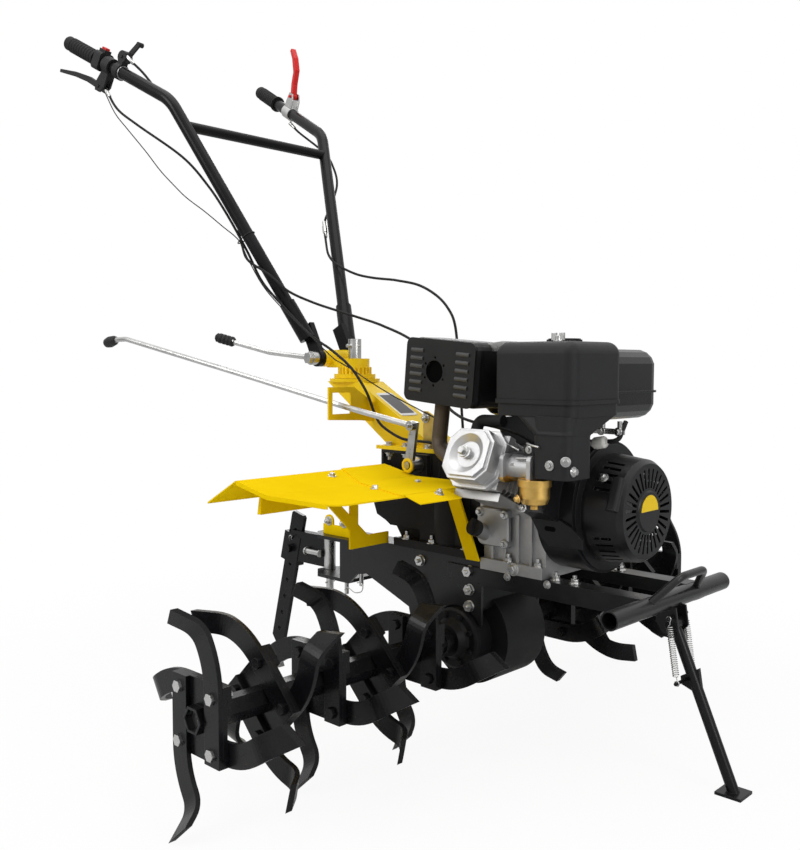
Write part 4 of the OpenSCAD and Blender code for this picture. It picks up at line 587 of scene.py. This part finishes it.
gold_zinc = finish("gold_zinc", (0.5, 0.34, 0.08), (0.62, 0.44, 0.13), (0.3, 0.42), metal=1.0, grain=900.0,
                   relief=0.08, patch=40.0, edge_wear_and_highlight=0.3, edge_wear_highlight_colour=(0.75, 0.6, 0.3), dust=0.02)
cable_bracket = [(-140, base_top), (-97, base_top), (-97, 611), (-128, 627), (-140, 627)]
bracket_y = -44
bracket_thick = 3
pressed_piece("cable_bracket", cable_bracket, side_plane(bracket_y), bracket_thick, gold_zinc)
fasteners("bracket_bolt", 12, [((-133, bracket_y - bracket_thick, 612), right_out)], stud=3)

column_face = (0.49, 0, 0.872)
plate_seat = seat(spot(-262, -2, 636.2), column_face)
plate_dark = finish("plate_dark", (0.02, 0.02, 0.022), (0.035, 0.035, 0.037), (0.3, 0.4), shine=0.3,
                    grain=900.0, relief=0.05, edge_wear_and_highlight=0.05, dust=0.02)
plate_pale = finish("plate_pale", (0.5, 0.5, 0.5), (0.6, 0.6, 0.6), (0.3, 0.4), metal=0.7, grain=900.0,
                    relief=0.05, edge_wear_and_highlight=0.05, dust=0.02)
rivet = [(2, 0.5), (2, 1.4), (1.2, 2.0), (0, 2.2)]
mesh = bmesh.new()
pressing(mesh, rounded_outline(50, 96, 5), plate_seat, 0.9)
for u, v in ((21, 44), (-21, 44), (21, -44), (-21, -44)):
    turned(mesh, rivet, plate_seat @ Matrix.Translation((u / 1000, v / 1000, 0)), 14)
piece("column_plate_rim", mesh, plate_pale, "chassis")
pressed_piece("column_plate", rounded_outline(44, 78, 3), plate_seat, 1.2, plate_dark)


# Engine castings: pressure-cast aluminium left bare, blasted to a fine silver grain. Plated bolts hold
# the case to the rails and close its drain, and a lipped plate is screwed on under the cylinder head.
cast_alloy = finish("cast_alloy", (0.34, 0.34, 0.34), (0.45, 0.45, 0.45), (0.42, 0.56), metal=0.85,
                    grain=900.0, relief=0.35, patch=26.0, edge_wear_and_highlight=0.35, edge_wear_highlight_colour=(0.65, 0.65, 0.65), dust=0.02)
cover_alloy = finish("cover_alloy", (0.46, 0.46, 0.46), (0.54, 0.54, 0.54), (0.36, 0.46), metal=0.9,
                     grain=900.0, relief=0.16, patch=20.0, radius=0.002, edge_wear_and_highlight=0.35,
                     edge_wear_highlight_colour=(0.75, 0.75, 0.75), dust=0.02)
dress(cast_alloy, "crankcase", "cylinder_head")
dress(cover_alloy, "rocker_cover")
dress(zinc_plate, "crankshaft")
case_foot = 352
fasteners("case_bolts", 12, both_sides((124, 192), 94.5, case_foot, upward), stud=8)
case_drains = [((140, side * 100, 341), (0, side, 0)) for side in (-1, 1)]
fasteners("drain_plugs", 15, case_drains, washer=2.4)

panel_y = -93
panel_thick = 9
panel_bosses = ((60, 442), (120, 442), (120, 386))
boss_tall = 12
boss = [(9, -8), (9, boss_tall - 1), (8, boss_tall), (0, boss_tall)]
case_panel = [(x + 90, z + 414) for x, z in rounded_outline(76, 72, 14)]
mesh = bmesh.new()
pressing(mesh, case_panel, side_plane(panel_y), panel_thick, 3)
for x, z in panel_bosses:
    turned(mesh, boss, seat(spot(x, panel_y, z), right_out))
piece("case_panel", mesh, cast_alloy, "chassis")
panel_bolts = [((x, panel_y - boss_tall, z), right_out) for x, z in panel_bosses]
fasteners("panel_bolts", 9, panel_bolts, washer=1.2)

cover_out = (0, -0.914, 0.407)
cover_down = (0, -0.407, -0.914)
cover_x = 131.5
cover_y = -238
cover_z = 572.5
fasteners("cover_bolt", 13, [((cover_x, cover_y, cover_z), cover_out)], washer=2.6)
along_head = Matrix(((0, 0, -1, 0),
                     (cover_out[1], -cover_down[1], 0, 0),
                     (cover_out[2], -cover_down[2], 0, 0),
                     (0, 0, 0, 1)))
plate_front = 191.5
plate_width = 102.5
plate_start = Matrix.Translation(spot(plate_front, cover_y, cover_z))
head_plate = [(-150, -56.6), (-58.2, -56.6), (-58.2, -70), (-56, -70), (-56, -54.4), (-150, -54.4)]
pressed_piece("head_plate", head_plate, plate_start @ along_head, plate_width, cover_alloy)
fasteners("plate_bolt", 10, [((141, -183.3, 485.3), cover_down)], washer=2)


# Fan shroud and starter cover: pressed and moulded covers in smooth satin black, screwed on around
# the rim, with a yellow half disc set in the hub. A slotted brace crosses the shroud's right side.
cover_black = finish("cover_black", (0.005, 0.005, 0.006), (0.009, 0.009, 0.01), (0.26, 0.4), shine=0.2,
                     grain=700.0, relief=0.1, edge_wear_and_highlight=0.1, edge_wear_highlight_colour=(0.1, 0.1, 0.1), dust=0.02)
dress(cover_black, "fan_shroud")
starter_black = finish("starter_black", (0.006, 0.006, 0.007), (0.01, 0.01, 0.011), (0.3, 0.42), shine=0.26,
                       grain=900.0, relief=0.16, edge_wear_and_highlight=0.2, edge_wear_highlight_colour=(0.1, 0.1, 0.1), dust=0.02)
dress(starter_black, "recoil_cover")
hub_face = 366
hub_z = 465
hub_r = 29
arc_steps = 24
half_turn = [math.pi * step / arc_steps for step in range(arc_steps + 1)]
half_disc = [(hub_r * math.cos(angle), hub_r * math.sin(angle)) for angle in half_turn]
front_view = Matrix(((0, 0, 1, 0), (1, 0, 0, 0), (0, 1, 0, 0), (0, 0, 0, 1)))
hub_seat = Matrix.Translation(spot(hub_face, 0, hub_z)) @ front_view
pressed_piece("hub_half_disc", half_disc, hub_seat, 0.8, yellow_enamel, 0.2)
shroud_side = side_plane(-121.5)
shroud_brace = [(181, 473), (200, 481), (243, 459), (285, 439), (308, 421), (308, 404), (274, 404),
                (237, 403), (221, 414), (203, 441)]
pressed_piece("shroud_brace", shroud_brace, shroud_side, 4.5, cover_black)
# The slot in the brace is a thin near-black sheet laid on its face, painted shade standing in for the
# opening.
brace_slot = [(x + 240, z + 433) for x, z in rounded_outline(24, 9, 4.4)]
slot_plane = shroud_side @ Matrix.Translation((0, 0, 0.0043))
hole_shade_and_soot = finish("hole_shade_and_soot", (0.0015, 0.0015, 0.0015), (0.003, 0.003, 0.003), (0.7, 0.85), shine=0.02,
                    grain=900.0, relief=0.2, edge_wear_and_highlight=0.0, dust=0.0)
pressed_piece("shroud_brace_slot_shade", brace_slot, slot_plane, 0.5, hole_shade_and_soot)
shroud_screws = [((317, -75, 526.5), (0.09, -0.76, 0.65)), ((211, -169, 472), (0, -0.91, 0.41))]
fasteners("shroud_screws", 10, shroud_screws, stud=2)


# Muffler: a pressed steel box under a louvred guard, in heat-proof matt black, held by a plated strap.
# The guard's outer face with its raised louvres is coloured a paler black, a painted highlight, and the
# pipe below the box is browned by heat.
def dress_faces(material, name, chosen):
    mesh = solids[name].data
    mesh.materials.append(material)
    for face in mesh.polygons:
        middle = (face.center - spot(0, 0, 0)) * 1000
        if chosen(middle):
            face.material_index = len(mesh.materials) - 1


def turned_piece(name, profile, where, sides, material, body):
    mesh = bmesh.new()
    turned(mesh, profile, where, sides)
    piece(name, mesh, material, body)


stove_black = finish("stove_black", (0.003, 0.003, 0.003), (0.007, 0.0068, 0.0065), (0.4, 0.54), shine=0.26,
                     grain=1100.0, relief=0.3, patch=20.0, edge_wear_and_highlight=0.15, edge_wear_highlight_colour=(0.09, 0.085, 0.08), dust=0.03)
dress(stove_black, "muffler")
# The paler black on the guard's outer face paints the highlight of the louvres.
louvre_painted_highlight = finish("louvre_painted_highlight", (0.04, 0.04, 0.04), (0.062, 0.061, 0.06), (0.36, 0.5), shine=0.3,
                      grain=1100.0, relief=0.2, patch=20.0, edge_wear_and_highlight=0.15, edge_wear_highlight_colour=(0.12, 0.115, 0.11), dust=0.03)
guard_face = -200.3
dress_faces(louvre_painted_highlight, "muffler", lambda p: p.y < guard_face)
pipe_brown = finish("pipe_brown", (0.055, 0.04, 0.027), (0.095, 0.072, 0.05), (0.42, 0.58), metal=0.4,
                    shine=0.3, grain=1100.0, relief=0.3, patch=20.0, edge_wear_and_highlight=0.2, edge_wear_highlight_colour=(0.16, 0.13, 0.1),
                    dust=0.03)
box_foot = 640
dress_faces(pipe_brown, "muffler", lambda p: p.z < box_foot)
# A near-black disc fills the outlet's mouth: painted shade for the open pipe's dark inside, with some real
# soot.
outlet = [(0, -0.3), (20.5, -0.3), (20.5, 2.5), (18, 3), (17, 0.4), (0, 0.4)]
outlet_seat = seat(spot(27, -194, 712), right_out)
turned_piece("muffler_outlet", outlet, outlet_seat, 32, hole_shade_and_soot, "chassis")
strap = [(114, 748), (180, 752), (180, 767), (150, 768), (114, 764)]
pressed_piece("muffler_strap", strap, side_plane(-150), 3, zinc_plate)


# Air filter, caps and levers: moulded black plastic with a fine spark grain.
# The wing nut on the filter's lid and the screws of its neck are plated.
moulded_black = finish("moulded_black", (0.011, 0.011, 0.012), (0.017, 0.017, 0.018), (0.46, 0.58),
                       shine=0.2, grain=1500.0, relief=0.35, patch=16.0, edge_wear_and_highlight=0.1,
                       edge_wear_highlight_colour=(0.06, 0.06, 0.06), dust=0.03)
dress(moulded_black, "air_filter_cover", "air_filter_base", "fuel_cap", "oil_cap", "recoil_grip",
      "clutch_perch", "clutch_lever", "switch_box", "throttle_base", "throttle_lever")
lid_top = 766
dress_faces(zinc_plate, "air_filter_cover", lambda p: p.z > lid_top)
forward = (1, 0, 0)
neck_screws = [((301, -217, 558), right_out), ((336, -200, 549), forward),
               ((330, -213.5, 566), (0.58, -0.82, 0))]
fasteners("neck_screws", 10, neck_screws, washer=2.2)


# Carburetor: a die-cast silver body over a yellow-chromated bowl with its drain screw.
# Bent wire links and a black arm on its right side work the throttle and the choke.
carb_metal = finish("carb_metal", (0.5, 0.3, 0.07), (0.68, 0.45, 0.14), (0.3, 0.45), metal=1.0,
                    grain=1000.0, relief=0.2, patch=40.0, edge_wear_and_highlight=0.3, edge_wear_highlight_colour=(0.85, 0.7, 0.4), dust=0.02)
dress(cast_alloy, "carburetor")
bowl_top = 531
dress_faces(carb_metal, "carburetor", lambda p: p.z < bowl_top)
bowl_screw = [((240, -222, 497), (-0.5, -0.86, -0.2))]
fasteners("bowl_screw", 9, bowl_screw, washer=1.4, material=carb_metal)
governor_rod = spots((228, -204, 578), (214, -206, 584), (196, -196, 586), (172, -176, 588))
choke_rod = spots((252, -206, 584), (252, -214, 592), (266, -220, 590), (282, -222, 588))
cross_rod = spots((224, -207, 564), (240, -208, 565), (259, -208, 566))
mesh = bmesh.new()
tube(mesh, smooth_route(governor_rod, 6), 1.6)
tube(mesh, smooth_route(choke_rod, 6), 1.8)
tube(mesh, smooth_route(cross_rod, 4), 2.4)
piece("carb_links", mesh, zinc_plate, "chassis")
throttle_arm = [(241, 570), (262, 571), (265, 588), (255, 593), (242, 588)]
pressed_piece("carb_arm", throttle_arm, side_plane(-204), 5, moulded_black)
carb_screws = [((216, -203, 552), right_out), ((252, -209, 581), right_out)]
fasteners("carb_screws", 8, carb_screws, washer=1.2)


# Rubber pieces: the spark plug's boot and the two handle grips, dull black with a fine grain.
# The fuel hoses and the cable jackets further on are of the same rubber.
soft_rubber = finish("soft_rubber", (0.009, 0.009, 0.009), (0.015, 0.015, 0.015), (0.62, 0.78), shine=0.2,
                     grain=1300.0, relief=0.25, patch=30.0, edge_wear_and_highlight=0.1, edge_wear_highlight_colour=(0.05, 0.05, 0.05), dust=0.03)
dress(soft_rubber, "spark_plug_cap", "handle_grips")


# Fuel tank: two pressed shells seamed together, in deep gloss black, on a plated shelf with its bolts.
# A clear filter sits in the hose that leads from the tank to the carburetor.
gloss_black = finish("gloss_black", (0.005, 0.005, 0.006), (0.009, 0.009, 0.01), (0.22, 0.32), shine=0.26,
                     grain=300.0, relief=0.06, edge_wear_and_highlight=0.06, edge_wear_highlight_colour=(0.08, 0.08, 0.08), dust=0.03)
dress(gloss_black, "fuel_tank")
filter_clear = finish("filter_clear", (0.55, 0.54, 0.5), (0.66, 0.65, 0.6), (0.25, 0.35), shine=0.5,
                      grain=700.0, relief=0.05, edge_wear_and_highlight=0.1, edge_wear_highlight_colour=(0.7, 0.7, 0.7), dust=0.02)
filter_start = spot(288, -70, 585)
filter_aim = (spot(321, -70, 591) - filter_start).normalized()
filter_cup = [(0, 0), (5, 0), (6, 3), (10, 6), (11, 8), (11, 26), (10, 28), (6, 31), (5, 34), (0, 34)]
filter_seat = seat(filter_start, filter_aim)
turned_piece("fuel_filter", filter_cup, filter_seat, 28, filter_clear, "chassis")
hose_r = 4.2
hose_in = spots((322, -70, 591), (334, -70, 593), (341, -66, 598), (343, -60, 610), (343, -48, 626))
hose_out = spots((289, -70, 585), (276, -74, 580), (262, -92, 573), (256, -120, 566), (256, -150, 560))
mesh = bmesh.new()
for hose in (hose_in, hose_out):
    tube(mesh, smooth_route(hose, 8), hose_r, 14)
piece("fuel_hose", mesh, soft_rubber, "chassis", round_crease)
shelf = [(272, 604), (352, 604), (352, 611), (330, 614), (272, 614)]
shelf_post = [(0, 612), (4.5, 612), (4.5, 627), (0, 627)]
shelf_y = -66
shelf_thick = 3
mesh = bmesh.new()
pressing(mesh, shelf, side_plane(shelf_y), shelf_thick)
for x in (284, 306, 340):
    turned(mesh, shelf_post, Matrix.Translation(spot(x, shelf_y + shelf_thick, 0)), 16)
    bolt(mesh, spot(x, shelf_y - shelf_thick, 609), right_out, 9)
piece("tank_shelf", mesh, zinc_plate, "chassis")


# Tines: sabre blades of hardened strip, bolted to square flanges on hexagon hubs.
# The bolts of the outermost stars stay bright, and all the others are enamelled with the blades.
blade_enamel = finish("blade_enamel", (0.004, 0.004, 0.005), (0.007, 0.007, 0.008), (0.2, 0.32), shine=0.17,
                      grain=240.0, relief=0.16, patch=18.0, radius=0.0014, edge_wear_and_highlight=0.18,
                      edge_wear_highlight_colour=(0.1, 0.1, 0.1), dust=0.02)
dress(blade_enamel, "tine_hub_right", "tine_hub_left", "blades_right", "blades_left")
dress(zinc_plate, "axle_shaft", "blade_bolts")
star_depth = 60
outer_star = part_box("blade_bolts")[1].y * 1000 - star_depth
dress_faces(blade_enamel, "blade_bolts", lambda p: abs(p.y) < outer_star)


# Stand: a leaning leg drawn by two close-wound springs, each one wire with a hook at either pin.
dress(blade_enamel, "stand_leg")
spring_wire = 2
spring_mid = 10
spring_curls = 24
spring_points = 12
spring_y = 30
coil_start = 11.3
coil_end_share = 0.3
coil_end_steps = 9
turns = spring_curls * spring_points
hook = [(0.2, 3.6), (2.8, 3.0), (4.3, 0), (3.0, -3.0), (0, -4.3), (-3.0, -3.0), (-4.0, 0.4), (-1.6, 5.4)]
for label, side in (("right", -1), ("left", 1)):
    top = spot(423, side * spring_y, 286)
    foot = spot(441, side * spring_y, 176)
    run = (foot - top).length * 1000
    down = (foot - top).normalized()
    across = Vector((0, 1, 0))
    fore = across.cross(down)
    coil = []
    for step in range(turns + 1):
        angle = 2 * math.pi * step / spring_points
        grow = min(1, coil_end_share + min(step, turns - step) / coil_end_steps)
        out = (across * math.cos(angle) + fore * math.sin(angle)) * grow * spring_mid / 2000
        coil.append(top + down * (coil_start + (run - 2 * coil_start) * step / turns) / 1000 + out)
    upper = [top + (fore * u + down * v) / 1000 for u, v in hook]
    lower = [foot + (fore * u - down * v) / 1000 for u, v in reversed(hook)]
    wire = smooth_route(upper + [coil[0]], 4) + coil[1:-1] + smooth_route([coil[-1]] + lower, 4)
    mesh = bmesh.new()
    tube(mesh, wire, spring_wire / 2, 8)
    spring = piece("stand_spring_" + label, mesh, zinc_plate, None, round_crease)
    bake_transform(spring)
    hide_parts("stand_springs")


# Depth stake: a drilled flat bar in a holder that swings on the hitch pin and clamps it with a bolt.
# The holder's eye, its loose pin and the bent wire clip are plated.
dress(blade_enamel, "stake_holder", "depth_stake")
eye_r = 14.5
dress_faces(zinc_plate, "stake_holder", lambda p: math.hypot(p.x - hitch_pin_x, p.y) < eye_r)
holder_pin = [(0, -557), (9.5, -557), (10, -556), (10, -552), (6.5, -551), (6.5, -507), (9.5, -506),
              (9.5, -503), (0, -503)]
pin_seat = Matrix.Translation(spot(0, -17.5, 267)) @ seat(Vector(), forward)
turned_piece("holder_pin", holder_pin, pin_seat, 28, zinc_plate, "stake_holder")
mesh = bmesh.new()
spring_clip(mesh, spot(-622, -14, 286), (0.3, -0.6, 0.74), length=36)
piece("stake_clip", mesh, zinc_plate, "stake_holder")


# Handle: two bent tubes and a cross tube in thick gloss black, on a bright lock and a clamp screw.
# The knobs are black plastic, the lock lever and stop button red, and three bands ring the right tube.
tube_black = finish("tube_black", (0.005, 0.005, 0.006), (0.008, 0.008, 0.009), (0.22, 0.32), shine=0.13,
                    grain=300.0, relief=0.08, patch=12.0, edge_wear_and_highlight=0.08, edge_wear_highlight_colour=(0.08, 0.08, 0.08), dust=0.02)
dress(tube_black, "handlebar_right", "handlebar_left", "handle_brace")
dress(zinc_plate, "swivel_lock", "lock_bracket", "shift_lever", "shift_rod", "clamp_lever")
clamp_knob_x = -636
dress_faces(moulded_black, "clamp_lever", lambda p: p.x < clamp_knob_x)
shift_knob_x = -944
dress_faces(moulded_black, "shift_rod", lambda p: p.x < shift_knob_x)
red_plastic = finish("red_plastic", (0.55, 0.012, 0.012), (0.66, 0.02, 0.018), (0.32, 0.44), shine=0.25,
                     grain=800.0, relief=0.12, edge_wear_and_highlight=0.1, edge_wear_highlight_colour=(0.8, 0.2, 0.18), dust=0.02)
dress(red_plastic, "lock_lever", "stop_button")
bar_corner = spot(-785, -240, 1352)
bar_end = spot(-1140, -308, 1547)
bar_root = spot(-470, -50, 739)
grip_axis = (bar_end - bar_corner).normalized()
bar_d = 30
band_inner = bar_d / 2 + 0.1
band_outer = band_inner + 1.8
band = [(band_inner, -4), (band_outer, -4), (band_outer + 0.3, 0), (band_outer, 4), (band_inner, 4)]
mesh = bmesh.new()
for back in (160, 203, 221):
    turned(mesh, band, seat(bar_end - grip_axis * back / 1000, grip_axis), 32)
piece("bar_bands", mesh, zinc_plate, "handlebars")
shift_eye = [(8.5, -0.3), (15, -0.3), (15, 2), (13.8, 2.8), (9.5, 2.8), (8.5, 2)]
shift_seat = seat(spot(-110, -126, 520), right_out)
turned_piece("shift_eye_ring", shift_eye, shift_seat, 32, yellow_enamel, "shift_lever")


# Control cables: black jackets that run free from the levers, past the swivel and into the machine.
# Each is built as an upper stretch along the handle and a lower one running down into the machine.
dress(soft_rubber, "cables_upper", "cables_lower")
bar_up = (bar_corner - bar_root).normalized()
bar_in = (Vector((0, 1, 0)) - bar_up * bar_up.y).normalized()
bar_back = bar_up.cross(bar_in)


def by_bar(along, inward, behind, side=1):
    place = bar_root + (bar_up * along + bar_in * inward + bar_back * behind) / 1000
    return Vector((place.x, side * place.y, place.z))


def along_bar(*points, side=1):
    return [by_bar(*point, side) for point in points]


clutch_upper = [
    *spots((-1004, -282, 1404), (-968, -274, 1356), (-905, -256, 1310)),
    *along_bar((600, 8, 66), (500, 8, 40), (410, -2, 24), (310, -6, 22.5), (225, -14, 22)),
    *spots((-524, -113, 860), (-459, -101, 803), (-432, -87, 779), (-399, -79, 760)),
    *spots((-364, -72, 736), (-352, -69, 726)),
]
clutch_lower = [
    *spots((-351.7, -68.9, 725.7), (-332, -64, 706), (-297, -60, 661), (-276, -58, 618)),
    *spots((-252, -58, 591), (-198, -58, 568), (-155, -58, 564), (-112, -60, 563), (-92, -64, 558)),
    *spots((-79, -66, 545), (-74, -66, 527), (-75, -66, 506), (-78, -66, 486)),
]
throttle_upper = [
    *spots((-923, -266, 1470), (-886, -240, 1424)),
    *along_bar((690, 24, 36), (600, 22, 32), (490, 20, 20), (400, 14, 19), (330, -2, 31), (285, -17, 24)),
    *spots((-557, -128, 934), (-515, -104, 894), (-476, -62, 868), (-425, -30, 848)),
    *spots((-369, -5, 829), (-340, 4, 820)),
]
throttle_lower = [
    *spots((-339.6, 4.1, 819.8), (-315, 10, 811), (-256, 18, 788), (-201, 20, 758), (-150, 6, 708)),
    *spots((-95, -26, 645), (-40, -52, 622), (20, -74, 612), (85, -83, 605), (134, -80, 594)),
    *spots((166, -70, 577), (186, -62, 565), (204.6, -60, 560)),
]
left_upper = [
    *spots((-953, 272, 1414), (-926, 278, 1388)),
    *along_bar((680, -22, 24), (612, -31, 4), (550, -29, -2), (490, -16, 16), (440, 4, 23), side=-1),
    *along_bar((400, 14, 19), (350, 18, 16), (300, 24, 4), (255, 22, -22), side=-1),
    *spots((-518, 112, 949), (-445, 100, 934), (-372, 93.5, 924.5)),
]
left_lower = [
    *spots((-371.7, 93.4, 924.4), (-356, 92, 922), (-282, 88, 907), (-225, 86, 881), (-188, 85, 850)),
    *spots((-167, 85, 812), (-157, 86, 735), (-150, 88, 640), (-144, 89, 560), (-142, 88, 486)),
]
stop_upper = [
    *spots((-1010, -284, 1402), (-978, -276, 1348), (-931, -268, 1301), (-875, -253, 1242)),
    *spots((-839, -237, 1195), (-805, -222, 1158), (-773, -206, 1125), (-723, -191, 1090)),
    *spots((-674, -175, 1052)),
    *along_bar((338, -13, 22), (285, -24, 16), (210, -27, 14)),
    *spots((-508, -125, 851), (-439, -112, 797), (-375, -94, 741), (-352, -86, 727)),
]
stop_lower = [
    *spots((-351.7, -85.9, 726.8), (-325, -76, 712), (-291, -62, 689), (-232, -50, 659)),
    *spots((-165, -49.5, 635), (-133, -49, 623.5), (-104, -48.4, 613)),
]


def cable(name, points, width, node=None, before=None, after=None):
    route = smooth_route(points, 10, before, after)
    mesh = bmesh.new()
    tube(mesh, route, width * 500, 12)
    jacket = piece(name, mesh, soft_rubber, None, round_crease)
    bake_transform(jacket)
    if node:
        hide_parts(node)


cable_end = [(3, -9), (5.2, -9), (5.2, 2), (4.4, 3), (4.4, 14), (3.6, 16), (3.2, 16)]
mesh = bmesh.new()
for points in (clutch_upper, throttle_upper, left_upper):
    turned(mesh, cable_end, seat(points[0], points[1] - points[0]), 20)
piece("cable_ends", mesh, zinc_plate, "handlebars")
tie_along = 336
tie_steps = 36
tie_r = 16
tie_bulge = 18
tie_turn = 0.2
loop = []
for step in range(tie_steps + 1):
    angle = 2 * math.pi * step / tie_steps
    reach = tie_r + tie_bulge * max(0, math.cos(angle)) ** 6
    loop.append(by_bar(tie_along, -reach * math.sin(angle + tie_turn), reach * math.cos(angle + tie_turn)))
mesh = bmesh.new()
tube(mesh, loop, 1.4, 8)
piece("cable_tie", mesh, moulded_black, "handlebars")
left_up = Vector((bar_up.x, -bar_up.y, bar_up.z))
adjuster = [(3, -26), (4.6, -26), (4.6, -12), (6.4, -11), (6.4, 9), (4.6, 10), (4.6, 24), (3, 24)]
adjuster_seat = seat(by_bar(398, 14.3, 19, -1), left_up)
turned_piece("cable_adjuster", adjuster, adjuster_seat, 20, zinc_plate, "handlebars")
cable_d = 0.006
wire_d = 0.0026
clutch_span = (spot(-640, 0, 1040), spot(-345, 0, 790))
throttle_span = (spot(-600, 0, 990), spot(-350, 0, 835))
left_span = (spot(-560, 0, 960), spot(-385, 0, 926))
near_span = (spot(-345, 0, 722), spot(-300, 0, 662))
far_span = (spot(-325, 0, 800), spot(-150, 0, 640))
for name, width, upper, lower, high, low, solid in (
        ("clutch_cable", cable_d, clutch_upper, clutch_lower, clutch_span, near_span, "cables"),
        ("throttle_cable", cable_d, throttle_upper, throttle_lower, throttle_span, far_span, "cables"),
        ("left_cable", cable_d, left_upper, left_lower, left_span, far_span, "cables"),
        ("stop_wire", wire_d, stop_upper, stop_lower, clutch_span, near_span, None)):
    cable(name + "_upper", upper, width, solid and solid + "_upper",
          after=lower[1])
    cable(name + "_lower", lower, width, solid and solid + "_lower",
          before=upper[-2])
